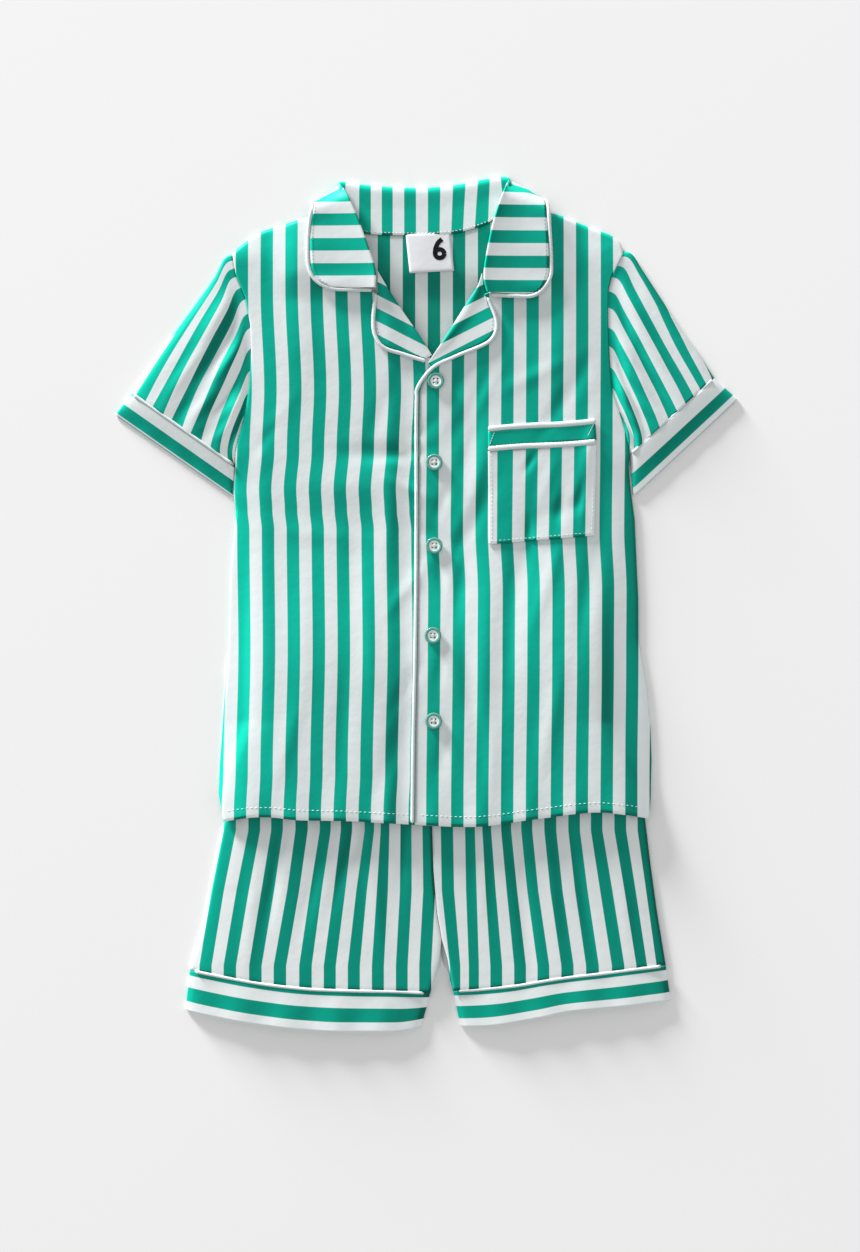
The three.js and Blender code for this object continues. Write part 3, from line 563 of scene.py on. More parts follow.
# Works out the smaller of a sheet's own area and the width times length of the cut it was laid from, and lists
# what it rests on, but keeps neither
def declareSheet(piece, width, length, restsOn):
    area = min(areaOf(piece), width * length * mm * mm)
    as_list(restsOn)


# Stripes of the shirt's body
stripeShift = {
    "right": [(251, -2.2), (171, 0.8), (123, -1), (91, -3.4), (75, -2.6), (59, -1.1), (-37, 0), (-133, -1.9),
              (-165, -3.2)],
    "left": [(235, -0.5), (123, -1), (59, -1.6), (11, 0.3), (-37, 0), (-165, -1.3)],
}


# Stripes of a front: first is where number 0.5 lies, and the side's table moves the stripes as they run down
def frontStripes(side, first, pitch):
    return lambda x, y, across, down: (
        (x - lookUp(stripeShift[side], 0, 1, y, soft=True) - first) / pitch + 0.5, y / 20
    )


print("body")
armholeOver = 1.3
backTopEdge = shoulderRight + backNeck + shoulderLeft
backHem = hemRight[:-2] + hemLeft[1:]
# The back panel takes the darker inside cloth, painted shade for the shirt's inside
lyingSheet(
    "backPanel",
    panelPlan(backTopEdge, backHem, levelSide(bodySideRight), levelSide(bodySideLeft)),
    lambda x, y, a, d: backUnder(x, y) + wall,
    80, 110, lambda x, y, a, d: ((x - 6.4) / 20 + 0.5, y / 20), ["back"], cloth="inside",
)
lyingSheet(
    "frontRight",
    panelPlan(
        shoulderRight, hemRight, levelSide(bodySideRight, -armholeOver), levelSide(rightFrontEdge),
    ),
    lambda x, y, a, d: rightFrontTop(x, y),
    80, 190, frontStripes("right", -144.8, 19.87), ["front_right"],
)
lyingSheet(
    "frontLeft",
    panelPlan(
        shoulderLeft, hemLeft, levelSide(leftFrontEdge), levelSide(bodySideLeft, armholeOver),
    ),
    lambda x, y, a, d: leftFrontTop(x, y),
    80, 190, frontStripes("left", 6.4, 19.8), ["front_left"],
)

# Sections of the collar from its end on the right front round to its end on the left front: neck seam, roll,
# middle and edge of the fall, how far the fall lies on the fronts (0 behind the neck), and its stripes' number
collarSections = [
    ((-43.2, 253.6), (-40.8, 252), (-59.2, 252), (-76, 253), 1, -8.23),
    ((-48, 259.6), (-40.4, 260.4), (-64.8, 260), (-86.4, 258.4), 1, -7.8),
    ((-56, 270.4), (-41.2, 268.8), (-68, 268.8), (-91.4, 268), 1, -7.38),
    ((-64, 286.4), (-47.2, 287.2), (-70.4, 286.4), (-92.4, 286.4), 1, -6.46),
    ((-69.6, 303.2), (-55.2, 308.8), (-73.6, 305.6), (-91.4, 303), 1, -5.37),
    ((-71.6, 313.6), (-61.6, 323), (-76, 319.2), (-89.4, 315.2), 0.95, -4.55),
    ((-71.6, 316.8), (-66.4, 332), (-80.4, 325.2), (-88, 321), 0.5, -3.72),
    ((-69.6, 315.6), (-68.4, 336.6), (-80.4, 325), (-82.4, 314), 0.12, -3.45),
    ((-63.6, 308.4), (-62, 336.4), (-68.4, 318.4), (-70.4, 297), 0, -3.16),
    ((-49.6, 298.6), (-49.6, 334.4), (-49.6, 312), (-50.4, 287.6), 0, -2.56),
    ((-24.8, 297), (-24.8, 332.4), (-24.8, 307.2), (-24.8, 283.2), 0, -1.15),
    ((0, 297), (0, 332), (0, 307.2), (0, 282.4), 0, 0.17),
    ((23.2, 298.6), (24.8, 334.4), (24, 309.6), (24.8, 284), 0, 1.41),
    ((44.8, 304.6), (47.2, 338.8), (46.4, 315.2), (48, 289.6), 0, 2.54),
    ((62.4, 314.4), (59.6, 340.7), (67.2, 322.4), (69.2, 300.6), 0, 3.25),
    ((70.8, 319.6), (66, 340), (79.2, 330), (86, 316.6), 0.12, 3.55),
    ((73.4, 320), (64.8, 335.4), (81.6, 330), (93.6, 323), 0.5, 3.7),
    ((72.8, 316.8), (60.4, 325), (78, 321), (95.6, 315), 0.95, 4.6),
    ((69.2, 304), (54, 305.6), (76, 303.2), (96.8, 297.6), 1, 5.83),
    ((64.8, 287.2), (49.6, 285.6), (73.6, 283.2), (98, 274), 1, 6.82),
    ((58.2, 270.4), (46.8, 268.8), (72, 265.6), (97.4, 261.6), 1, 7.65),
    ((52.4, 260), (46.4, 258.4), (70.4, 256), (92, 252), 1, 8.28),
    ((51, 251.2), (48.8, 248.4), (68.8, 247.4), (84.8, 247.4), 1, 8.74),
]
wingStripes = {
    "right": [(251.2, -8.27), (266.4, -7.5), (286.4, -6.5), (306.4, -5.5), (324.8, -4.5)],
    "left": [(247.2, 8.8), (253.1, 8.5), (272.3, 7.5), (292.3, 6.5), (313, 5.5), (333, 4.5)],
}
pipingClear = -0.1
collarClear = 0.1
cornerClear = 1.3


# Neck seam, stand, roll, fall and edge of one section
def collarColumn(section):
    neck, roll, middle, edge = (Vector((*place, 0)) for place in section[:4])
    stand, fall = mix(4.0, 7.3, section[4]), mix(0.5, 10.0, section[4])
    turned = 1 if fall >= stand else -1
    apart = abs(fall - stand)
    lift = (2.2 - apart) / 2 * turned if apart < 2.2 else 0
    column = [
        (neck, stand - lift), (neck.lerp(roll, 0.55), stand - lift), (neck.lerp(roll, 0.9), stand - lift),
        (roll, (stand + fall) / 2), (roll.lerp(middle, 0.12), fall + lift), (middle, fall + lift),
        (edge, fall + lift),
    ]
    return [Vector((p.x, p.y, z)) for p, z in column]


collarMiddle = [collarColumn(section) for section in collarSections]
collarOver = [section[4] for section in collarSections]
collarNumbers = [section[5] for section in collarSections]


# Value between the entries of a list, each a number or a vector, without overshooting much
def between(values, t):
    place = clamp(t) * (len(values) - 1)
    i = min(int(place), len(values) - 2)
    p, q = values[max(i - 1, 0)], values[i]
    r, s = values[i + 1], values[min(i + 2, len(values) - 1)]
    return cubic(q, (r - p) * 0.4, r, (s - q) * 0.4, place - i)


def collarPlace(across, down):
    columns = [between([row[k] for row in collarMiddle], down) for k in range(7)]
    point = between(columns, across)
    over = between(collarOver, down)
    fallShare = clamp((across - 0.5) * 2)
    wave = 0.25 * math.sin(down * 61) + 0.2 * math.sin(down * 23 + 1)
    point.z += wave * fallShare * ease(over * 2)
    sewn = ease(1 - across / 0.16) * ease(1 - over * 2)
    point.y -= 2.4 * sewn
    point.z += 0.75 * sewn
    point.z += 3.6 * bell(across - 0.56, 0.17) * ease(over * 1.6 - 0.5)
    return point


def collarStripes(x, y, across, down):
    over = ease(between(collarOver, down) * 1.4)
    number = between(collarNumbers, down)
    onWing = over * ease((across - 0.45) / 0.12)
    byHeight = lookUp(wingStripes["right" if x < 0 else "left"], 0, 1, y)
    return mix(number, byHeight, onWing), across


print("collar")
collar = gridPiece("collarFold", 36, 220, collarPlace, collarStripes, materials["striped"])
thicken(collar, wall, 0)
keep(collar, ["collar"])


def collarPipingPath():
    def end(row, following):
        made = []
        for k in (4, 5):
            here = collarMiddle[row][k]
            away = here - collarMiddle[following][k]
            away.z = 0
            made.append(here + away.normalized() * (pipingInset + collarClear))
        return made

    last = len(collarMiddle) - 1
    edge = []
    for i, row in enumerate(collarMiddle):
        here = row[6]
        away = (here - row[5]).normalized()
        corner = i in (0, last)
        if corner:
            away += (here - collarMiddle[1 if i == 0 else last - 1][6]).normalized()
        edge.append(here + away * (pipingInset + (cornerClear if corner else collarClear)))
    path = end(0, 1) + edge + end(last, last - 1)[::-1]
    return [(p.x, p.y, max(p.z + pipingClear, pipingRadius + 0.1)) for p in path]


cordPiece("collarPiping", collarPipingPath(), 1.6, 420, ["collar_piping"])


# Points of the collar's outer face, for its stitches
def onCollar(across, start, end, count, lift):
    run = []
    for i in range(count + 1):
        point = collarPlace(across, mix(start, end, i / count))
        run.append((point.x, point.y, point.z + lift))
    return run


# Lapels: the roll line and the outer edge, from the collar down to the top button
lapels = {
    "right": {
        "roll": [(-39.1, 266.4), (-31, 253), (-21.6, 238.4), (-5.2, 214.4), (4.8, 198.6)],
        "edge": [(-38.4, 247), (-40.4, 226.4), (-39.2, 215.2), (-33.6, 206.4), (-17.6, 200.8), (0, 196.2)],
        "middle": (-40, 231.2), "tilt": 27, "pitch": 18.7,
    },
    "left": {
        "roll": [(44.6, 263.6), (40.8, 253), (33.2, 241.3), (15.5, 213.2), (1.6, 192.4)],
        "edge": [(47.4, 244), (54.2, 226.4), (54.2, 218.4), (50.2, 211.2), (23.2, 199), (4.2, 189.4)],
        "middle": (35.4, 224.2), "tilt": -27, "pitch": 18.0,
    },
}


def lapelPiece(side, top):
    outline = lapels[side]
    roll, edge = smoothCurve(outline["roll"]), smoothCurve(outline["edge"])
    tilt = math.radians(outline["tilt"])

    def plan(across, down):
        return roll(down).lerp(edge(down), across) if side == "left" else edge(down).lerp(roll(down), across)

    def stripes(x, y, across, down):
        beside = (x - outline["middle"][0]) * math.sin(tilt) + (y - outline["middle"][1]) * math.cos(tilt)
        return beside / outline["pitch"] + 0.5, across

    def height(x, y, across, down):
        fromRoll = across if side == "left" else 1 - across
        return top(x, y) + 1.0 + wall + 1.2 * bell(fromRoll - 0.1, 0.16) * ease(down * 4) * ease((1 - down) * 3)

    name = "lapelRight" if side == "right" else "lapelLeft"
    lyingSheet(name, plan, height, 30, 50, stripes, ["lapel_" + side])


def movedOut(outline, centre):
    moved = []
    for i, (x, y) in enumerate(outline):
        before, after = outline[max(i - 1, 0)], outline[min(i + 1, len(outline) - 1)]
        along = Vector((after[0] - before[0], after[1] - before[1])).normalized()
        out = Vector((-along.y, along.x))
        sign = 1 if out.x * (x - centre[0]) + out.y * (y - centre[1]) > 0 else -1
        step = sign * (pipingInset + pipingClear)
        moved.append((x + out.x * step, y + out.y * step))
    return moved


print("lapels")
lapelPiece("right", rightFrontTop)
lapelPiece("left", leftFrontTop)
rightPath = movedOut(lapels["right"]["edge"][:-1], (-20, 225)) + [(-0.4, 193.8)]
cordPiece(
    "frontPipingRight",
    [(x, y, rightFrontTop(x, y) + 1.0 + pipingRadius) for x, y in rightPath],
    1.6, 90, ["front_piping_right"],
)
frontEdgeLine = smoothCurve([
    (-7.3, 171), (-7.7, 150), (-7.7, 67), (-8.5, -28.8), (-10.1, -108.8), (-10.9, -174.6),
])
leftPath = [
    (x, y, leftFrontTop(x, y) + 1.0 + pipingRadius) for x, y in movedOut(lapels["left"]["edge"], (30, 220))
]
for i in range(61):
    point = frontEdgeLine(i / 60)
    leftPath.append((point.x, point.y, frontUnder(point.x + pipingInset, point.y) + pipingRadius))
cordPiece("frontPipingLeft", leftPath, 1.6, 320, ["front_piping_left"], wide=0.9)

# Rows of share and stripe number: the start, the stripes' sides half a number apart, and the end
def stripeRows(start, firstSide, shares, end):
    return [(0, start)] + [(share, firstSide + 0.5 * i) for i, share in enumerate(shares)] + [(1, end)]


# Sleeves and their cuffs are flattened tubes with the piping's ring between them. A fold runs from a share
# across the armhole to one across the seam, and has a width and a height.
edgeHeight = 2.5
sewnInset = 0.25
sleeves = {
    "right": {
        "armhole": [
            (-154.2, 279.3), (-151.3, 262.8), (-143.7, 244.5), (-139.9, 223.2), (-139.1, 200), (-140.7, 174),
            (-143.7, 154.4), (-151.3, 123.2), (-152.6, 117),
        ],
        "top": [(-154.2, 279.3), (-160, 277.4), (-168.8, 261.6), (-184, 240), (-207.2, 208), (-233.4, 171)],
        "seam": [(-235, 168.2), (-152.9, 110.6)],
        "hem": [(-248.2, 151.6), (-154.8, 86.2)],
        "armholeStripes": stripeRows(
            0.4, 0.75, [0.02, 0.06, 0.10, 0.16, 0.22, 0.29, 0.36, 0.46, 0.57, 0.68, 0.79],
            6.7,
        ),
        "seamStripes": stripeRows(
            0.15, 0.25, [0.02, 0.12, 0.19, 0.3, 0.38, 0.49, 0.57, 0.68, 0.77, 0.87, 0.95],
            5.55,
        ),
        "rimStripes": [(0, 0.4), (1, 0.15)],
        "rimDrop": 0,
        "cuffStripes": stripeRows(0.55, 0.75, [0.05, 0.5, 0.94], 1.8),
        "folds": [
            (0.24, 0.42, 0.06, -2.4), (0.13, 0.27, 0.05, 1.6), (0.36, 0.54, 0.05, 1.5),
            (0.5, 0.68, 0.055, -2.1), (0.64, 0.84, 0.05, 1.3), (0.8, 0.92, 0.05, -1.6),
        ],
    },
    "left": {
        "armhole": [
            (156.7, 281), (147.9, 260.3), (145.3, 249.6), (144.8, 225.6), (146.3, 192.8), (148.7, 168),
            (156.7, 143.6), (161.5, 127.2),
        ],
        "top": [(156.7, 281), (163.2, 280), (172.5, 266.4), (201.6, 222), (221.6, 192.8), (228, 182.6)],
        "seam": [(229.9, 180), (163.3, 119.4)],
        "hem": [(248.2, 163.4), (166.4, 86.8)],
        "armholeStripes": stripeRows(
            1.3, 1.75, [0.02, 0.07, 0.13, 0.204, 0.287, 0.39, 0.485, 0.594, 0.698, 0.82, 0.92],
            7.1,
        ),
        "seamStripes": stripeRows(
            0.65, 0.75, [0.02, 0.077, 0.149, 0.233, 0.335, 0.437, 0.545, 0.653, 0.761, 0.869, 0.989],
            5.8,
        ),
        "rimStripes": [(0, 1.42), (0.4, 1.4), (0.8, 0.92), (1, 0.72)],
        "rimDrop": 0.3,
        "cuffStripes": stripeRows(0.8, 1.25, [0.47, 0.82], 2.05),
        "folds": [
            (0.24, 0.5, 0.06, -2.2), (0.14, 0.36, 0.05, 1.2), (0.38, 0.64, 0.05, 1.4),
            (0.5, 0.84, 0.05, -2.6), (0.62, 0.9, 0.04, 1.8), (0.8, 0.96, 0.035, -3.4),
            (0.08, 0.16, 0.05, -1.2),
        ],
    },
}
rimShare = 0.05


# A ring of a flattened tube: the upper layer, the fold at one side, the lower layer and the other fold
def tubeShare(turn):
    if turn < 0.5 - rimShare:
        return turn / (0.5 - rimShare), "upper", 0
    if turn < 0.5:
        return 1, "rim", 1 - 2 * (turn - 0.5 + rimShare) / rimShare
    if turn < 1 - rimShare:
        return 1 - (turn - 0.5) / (0.5 - rimShare), "lower", 0
    return 0, "rim", 2 * (turn - 1 + rimShare) / rimShare - 1


def tubePlace(plan, top, turn, down, reach=0.0):
    share, layer, level = tubeShare(turn)
    start, end = plan(0, down), plan(1, down)
    rim = edgeHeight / 2 / max((end - start).length, 1)
    across = mix(rim, 1 - rim, share)
    z = 0.1 if layer == "lower" else top(share, down)
    if layer == "rim":
        bulge = math.sqrt(max(0, 1 - level**2)) * rim
        across += bulge if share == 1 else -bulge
        z = mix(0.1, top(share, down), (1 + level) / 2)
    point = plan(across, down)
    if layer == "lower" and reach:
        away = (plan(across, 1) - plan(across, 0.9)).normalized()
        point += away * reach * ease((down - 0.8) / 0.2)
    return point.x, point.y, z


def tubePiece(name, plan, top, columns, rows, stripes, nodes, reach=0.0, cloth="striped"):
    piece = gridPiece(
        name, columns, rows, lambda turn, down: tubePlace(plan, top, turn, down, reach),
        stripes, materials[cloth], around=True,
    )
    thicken(piece, 0.8)
    keep(piece, nodes)


def dome(across):
    return math.sqrt(max(0, 1 - abs(2 * across - 1) ** 3))


# A ring of piping round a flattened tube, along a seam
def pipingRing(name, seam, height, steps, nodes):
    stations = [0.03, 0.12, 0.3, 0.5, 0.7, 0.88, 0.97]
    upper = [(*seam(t)[:2], max(height(t) + 0.1, 3 * pipingRadius + 0.7)) for t in stations]
    lower = [(*seam(t)[:2], pipingRadius + 0.35) for t in reversed(stations)]
    cordPiece(name, upper + lower + upper[:1], 1.6, steps, nodes, closed=True, wide=0.8)


def sleevePieces(side):
    facts = sleeves[side]
    seam = [Vector((*p, 0)) for p in facts["seam"]]
    direction = (seam[1] - seam[0]).normalized()
    inward = Vector((-direction.y, direction.x, 0))
    inward *= 1 if inward.y > 0 else -1
    upperSeam = [p + inward * sewnInset for p in seam]
    lowerSeam = [p - inward * sewnInset for p in seam]
    plan = panelPlan(
        facts["armhole"], upperSeam, facts["top"][:-1] + [upperSeam[0][:2]],
        [facts["armhole"][-1], upperSeam[1][:2]],
    )

    def height(across, down):
        full = mix(0.5, 3.6, ease(down / 0.35)) * dome(across)
        folds = sum(high * bell(across - mix(a, b, down), wide) for a, b, wide, high in facts["folds"])
        ripple = 0.5 * math.sin(across * 47 + down * 5) * dome(across) ** 2 * math.sin(down * math.pi)
        return edgeHeight + max(0, full + folds * ease(down / 0.25) * mix(1.25, 0.25, down) + 0.5 * ripple)

    def stripes(x, y, turn, down):
        share, layer, level = tubeShare(turn)
        atArmhole, atSeam = facts["armholeStripes"], facts["seamStripes"]
        number = mix(lookUp(atArmhole, 0, 1, share), lookUp(atSeam, 0, 1, share), down)
        rimNumber = lookUp(facts["rimStripes"], 0, 1, down)
        number += (rimNumber - mix(atArmhole[0][1], atSeam[0][1], down)) * clamp(1 - share / 0.1)
        if layer == "rim" and share == 0:
            number -= facts["rimDrop"] * (1 - level) / 2
        if layer == "lower":
            number = 2 * rimNumber - number - facts["rimDrop"]
        return number, down * 4

    title = side.capitalize()
    tubePiece("sleeve" + title, plan, height, 120, 60, stripes, ["sleeve_" + side])
    cuffPlan = panelPlan(
        lowerSeam, facts["hem"], [lowerSeam[0][:2], facts["hem"][0]], [lowerSeam[1][:2], facts["hem"][1]],
    )

    def cuffHeight(across, down=0.0):
        wave = 0.35 * math.sin(across * 25 + 1) * dome(across)
        loft = 3.3 * mix(1, 0.1, ease(down)) + wave * down * 0.4
        return edgeHeight * mix(1, 0.7, down) + loft * dome(across)

    def cuffStripes(x, y, turn, down):
        return lookUp(facts["cuffStripes"], 0, 1, down), turn * 8

    tubePiece("cuff" + title, cuffPlan, cuffHeight, 120, 26, cuffStripes, ["cuff_" + side], 2.0)
    pipingRing("cuffPiping" + title, smoothCurve(facts["seam"]), cuffHeight, 130, ["cuff_piping_" + side])


print("sleeves")
sleevePieces("right")
sleevePieces("left")


# Rounded rod between two points, added to a mesh that is being built
def rodNet(net, start, end, radius, segments=6):
    start, end = Vector(start), Vector(end)
    along = end - start
    turn = along.to_track_quat("Z", "Y").to_matrix().to_4x4()
    place = Matrix.Translation((start + end) / 2) @ turn @ Matrix.Diagonal((1, 1, along.length / 2 / radius, 1))
    bmesh.ops.create_uvsphere(net, u_segments=segments, v_segments=4, radius=radius, matrix=place)


# Stitches along runs of points, each stitch a rounded bar with a gap after it
def stitches(name, runs, long=2.4, gap=1.1, radius=0.28, material="thread"):
    net = bmesh.new()
    for run in runs:
        points = [Vector(p) for p in run]
        curve = smoothCurve(points, 6)
        length = sum((q - p).length for p, q in zip(points, points[1:]))
        count = max(1, round(length / (long + gap)))
        share = long / (long + gap)
        for i in range(count):
            rodNet(net, curve(i / count), curve((i + share) / count), radius)
    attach(meshObject(name, net, materials[material]), "root")


def onTop(points, top, lift=0.1):
    return [(x, y, top(x, y) + lift) for x, y in points]


def hemRun(hem, xStart, xEnd, top, rise=8):
    count = 24
    xs = [mix(xStart, xEnd, i / count) for i in range(count + 1)]
    return onTop([(x, yAt(hem, x) + rise) for x in xs], top, 0.02)


print("pocket")
pocket = {
    "left": 49.4, "right": 136, "topLeft": 121.6, "topRight": 127.8, "bottomLeft": 47.4, "bottomRight": 54.6,
    "bandLow": (125.0, 131.0), "bandHigh": (137.6, 143.8),
    "pipingLow": (123.4, 129.4), "pipingHigh": (139.4, 145.8),
}
pocketStripeTop = [(49.4, 0.0), (64.4, 0.5), (84.6, 1.5), (103.7, 2.5), (123, 3.5), (136, 4.15)]
pocketStripeLow = [(49.4, 0.0), (63.7, 0.5), (83.4, 1.5), (102.7, 2.5), (122, 3.5), (135, 4.15)]
pocketFolds = [
    (83, 113, 10, 3, 60, -0.9), (107, 78, 12, 3.5, 80, -0.9), (123, 86, 12, 3.5, 75, -0.8),
    (82, 58, 10, 3, 90, -0.8), (128, 100, 30, 3, 84, 0.6), (96, 96, 26, 5, 70, 0.5),
]


def pocketStripes(x, y, across, down):
    return mix(lookUp(pocketStripeTop, 0, 1, x), lookUp(pocketStripeLow, 0, 1, x), down), y / 20


def pocketTop(x, y, across, down):
    return leftFrontTop(x, y) + 0.75 + wall + foldHeights(x, y, pocketFolds)


lyingSheet(
    "pocketPanel",
    fourCorners(
        (pocket["left"], pocket["topLeft"]), (pocket["right"], pocket["topRight"]),
        (pocket["left"] + 0.6, pocket["bottomLeft"]), (pocket["right"] - 1.6, pocket["bottomRight"]),
    ),
    pocketTop, 64, 60, pocketStripes, ["pocket"],
)
lyingSheet(
    "pocketBand",
    fourCorners(
        (pocket["left"], pocket["bandHigh"][0]), (pocket["right"] - 1, pocket["bandHigh"][1]),
        (pocket["left"], pocket["bandLow"][0]), (pocket["right"], pocket["bandLow"][1]),
    ),
    pocketTop, 64, 12, lambda x, y, a, d: (0.5, d), ["pocket_band"],
)
for name, node in (("pipingHigh", "pocket_piping_top"), ("pipingLow", "pocket_piping_low")):
    points = []
    for i in range(25):
        x = mix(pocket["left"], pocket["right"] - 0.6, i / 24)
        y = mix(pocket[name][0], pocket[name][1], i / 24) + 0.5 * math.sin(i / 24 * 2 * math.pi)
        points.append((x, y, leftFrontTop(x, y) + layGap + pipingRadius))
    cordPiece("pocket" + name[0].upper() + name[1:], points, 1.2, 110, [node], wide=1.8)


def pocketHeight(x, y):
    return pocketTop(x, y, 0, 0)


pocketSewn = [
    [(52.0, 119.5), (52.2, 100), (52.5, 75), (52.6, 51)],
    [(51.5, 50.2), (70, 51.6), (90, 53.4), (110, 55), (132, 57)],
    [(133.5, 125), (133.4, 100), (133, 80), (132, 58)],
]
stitches("pocketStitches", [onTop(run, pocketHeight, 0.02) for run in pocketSewn], 2.0, 1.3, 0.22)
bandSewn = [
    [(54.5, 136.6), (52.6, 131.8), (50.8, 127.2)],
    [(133.6, 143.4), (131.4, 138.6), (129.0, 134.0)],
]
stitches("bandStitches", [onTop(run, pocketHeight, 0.05) for run in bandSewn], 1.9, 0.1, 0.24)
bandEdges = [[(54, 126.4), (92, 129.2), (130, 132)], [(56, 136.4), (92, 139.4), (128, 142.0)]]
stitches(
    "bandEdgeStitches", [onTop(run, pocketHeight, 0.02) for run in bandEdges], 1.4, 1.3, 0.2, "greenThread"
)
stitches(
    "hemStitches",
    [hemRun(hemRight, -158, -12, rightFrontTop), hemRun(hemLeft, -4, 174, leftFrontTop)], 2.2, 1.6, 0.3,
)

print("shorts")
# Middles of the green stripes at three heights, read across the photograph in pixels
legStripes = {
    "right": [
        (-180.8, [230, 255, 277, 302, 326, 346, 371, 384, 406, 428]),
        (-228.8, [218, 243, 268, 294, 316, 340, 362, 382, 406, 429]),
        (-288.8, [206, 230, 256, 280, 306, 330, 354, 378, 402, 425]),
    ],
    "left": [
        (-180.8, [447, 471, 486, 506, 526, 550, 574, 596, 620, 643]),
        (-228.8, [448, 472, 490, 512, 532, 556, 581, 606, 630, 651]),
        (-288.8, [456, 473, 496, 520, 543, 567, 592, 618, 642, 661]),
    ],
}
pixel = 0.8
pictureMiddle = 426


def stripeCentres(side, y):
    rows = legStripes[side]
    if y >= rows[0][0]:
        return rows[0][1]
    for (high, first), (low, second) in zip(rows, rows[1:]):
        if y >= low:
            return [mix(p, q, (high - y) / (high - low)) for p, q in zip(first, second)]
    return rows[-1][1]


def legStripeNumber(side, x, y):
    centres = [((p - pictureMiddle) * pixel, k + 0.5) for k, p in enumerate(stripeCentres(side, y))]
    first, last = centres[0], centres[-1]
    centres = [(first[0] - 80, first[1] - 4)] + centres + [(last[0] + 80, last[1] + 4)]
    return lookUp(centres, 0, 1, x)


legCreases = [
    (-120, -215, 40, 5, 80, -1.2), (-62, -205, 36, 6, 70, -1.3), (-90, -226, 34, 6, 74, -0.9),
    (-18, -200, 30, 5, 84, -1.2), (-40, -235, 40, 6, 96, 0.9), (-140, -250, 40, 6, 84, 0.7),
    (76, -235, 60, 6, 98, -1.4), (125, -230, 50, 5, 100, -1.1), (100, -225, 50, 6, 96, 1.0),
    (45, -215, 34, 5, 90, 0.9), (158, -240, 40, 5, 98, 0.8),
]


def legPieces(side, outer, inner, innerBack, seam):
    right = side == "right"
    hem = [(x, y + sewnInset) for x, y in seam]
    outerHem, innerHem = (hem[0], hem[-1]) if right else (hem[-1], hem[0])

    def order(a, b):
        return (a, b) if right else (b, a)

    def plan(innerEdge):
        sides = order(levelSide(outer[:-1] + [outerHem]), levelSide(innerEdge[:-1] + [innerHem]))
        return panelPlan(order(outer[0], inner[0]), hem, *sides)

    def frontTop(x, y, across, down):
        fromOuter = across if right else 1 - across
        inset = max(0, legInset(x, y))
        return legUnder(x, y, fromOuter) + wall + foldHeights(x, y, legCreases) * ease(inset / 20)

    title = side.capitalize()
    for name, innerEdge, top, columns, rows in (
        ("Front", inner, frontTop, 84, 90), ("Back", innerBack, lambda x, y, a, d: wall, 40, 40),
    ):
        lyingSheet(
            "shorts" + name + title, plan(innerEdge), top, columns, rows,
            lambda x, y, a, d: (legStripeNumber(side, x, y), y / 20),
            [f"shorts_{name.lower()}_{side}"], cloth="shadedCopy",
        )


legPieces("right", legSideRight, innerLegRight, innerLegBackRight, legHemRight)
legPieces("left", legSideLeft, innerLegLeft, innerLegBackLeft, legHemLeft)


def shortsCuff(side, seam, hem):
    lowered = [(x, y - sewnInset) for x, y in seam]
    plan = panelPlan(lowered, hem, [lowered[0], hem[0]], [lowered[-1], hem[-1]])

    def height(across, down=0.0):
        wave = 0.5 * math.sin(across * 31 + (1 if side == "right" else 2)) * dome(across)
        return edgeHeight + mix(3.4, 4.6, down) * dome(across) + wave * mix(0.3, 1, down)

    stripes = stripeRows(0.4, 0.75, [0.12, 0.42, 0.77], 2.1)
    title = side.capitalize()
    tubePiece(
        "shortsCuff" + title, plan, height, 180, 30,
        lambda x, y, turn, down: (lookUp(stripes, 0, 1, down), turn * 16), ["shorts_cuff_" + side], 1.0,
        "shadedCopy",
    )
    pipingRing("shortsCuffPiping" + title, smoothCurve(seam), height, 220, ["shorts_cuff_piping_" + side])


shortsCuff("right", legHemRight, cuffHemRight)
shortsCuff("left", legHemLeft, cuffHemLeft)


# Waistband, a flattened ring gathered by its elastic
def waistPlan(across, down):
    x = mix(waist["left"], waist["right"], across)
    return Vector((x, mix(waist["top"], waist["bottom"], down), 0))


def waistHeight(across, down):
    return edgeHeight + (2.2 + 0.5 * math.cos(across * 16 * math.pi)) * dome(across)


tubePiece(
    "waistbandRing", waistPlan, waistHeight, 260, 12,
    lambda x, y, turn, down: ((x - 6.4) / 16 + 0.5, down), ["waistband"],
)

print("buttons")
buttonPlaces = [(7.8, 177.9), (6.6, 113), (6.6, 46.4), (5.5, -25.1), (6.1, -93.1)]
buttonRadius = 6.7
buttonProfile = [
    (0, 0), (5.6, 0), (6.3, 0.35), (6.7, 1.0), (6.6, 1.6), (6.1, 2.1), (5.3, 2.2), (4.7, 1.95), (4.2, 1.55),
    (3.0, 1.4), (0, 1.4),
]
holePlaces = [(1.45, 1.45), (-1.45, 1.45), (-1.45, -1.45), (1.45, -1.45)]
holeRadius = 0.8
dishRadius = 4.3


def turnedNet(profile, steps):
    net = bmesh.new()
    verts = [net.verts.new((r, 0, z)) for r, z in profile]
    edges = [net.edges.new(pair) for pair in zip(verts, verts[1:])]
    bmesh.ops.spin(
        net, geom=verts + edges, axis=(0, 0, 1), cent=(0, 0, 0), angle=2 * math.pi, steps=steps, use_merge=True
    )
    bmesh.ops.remove_doubles(net, verts=net.verts, dist=0.001)
    bmesh.ops.recalc_face_normals(net, faces=net.faces)
    return net


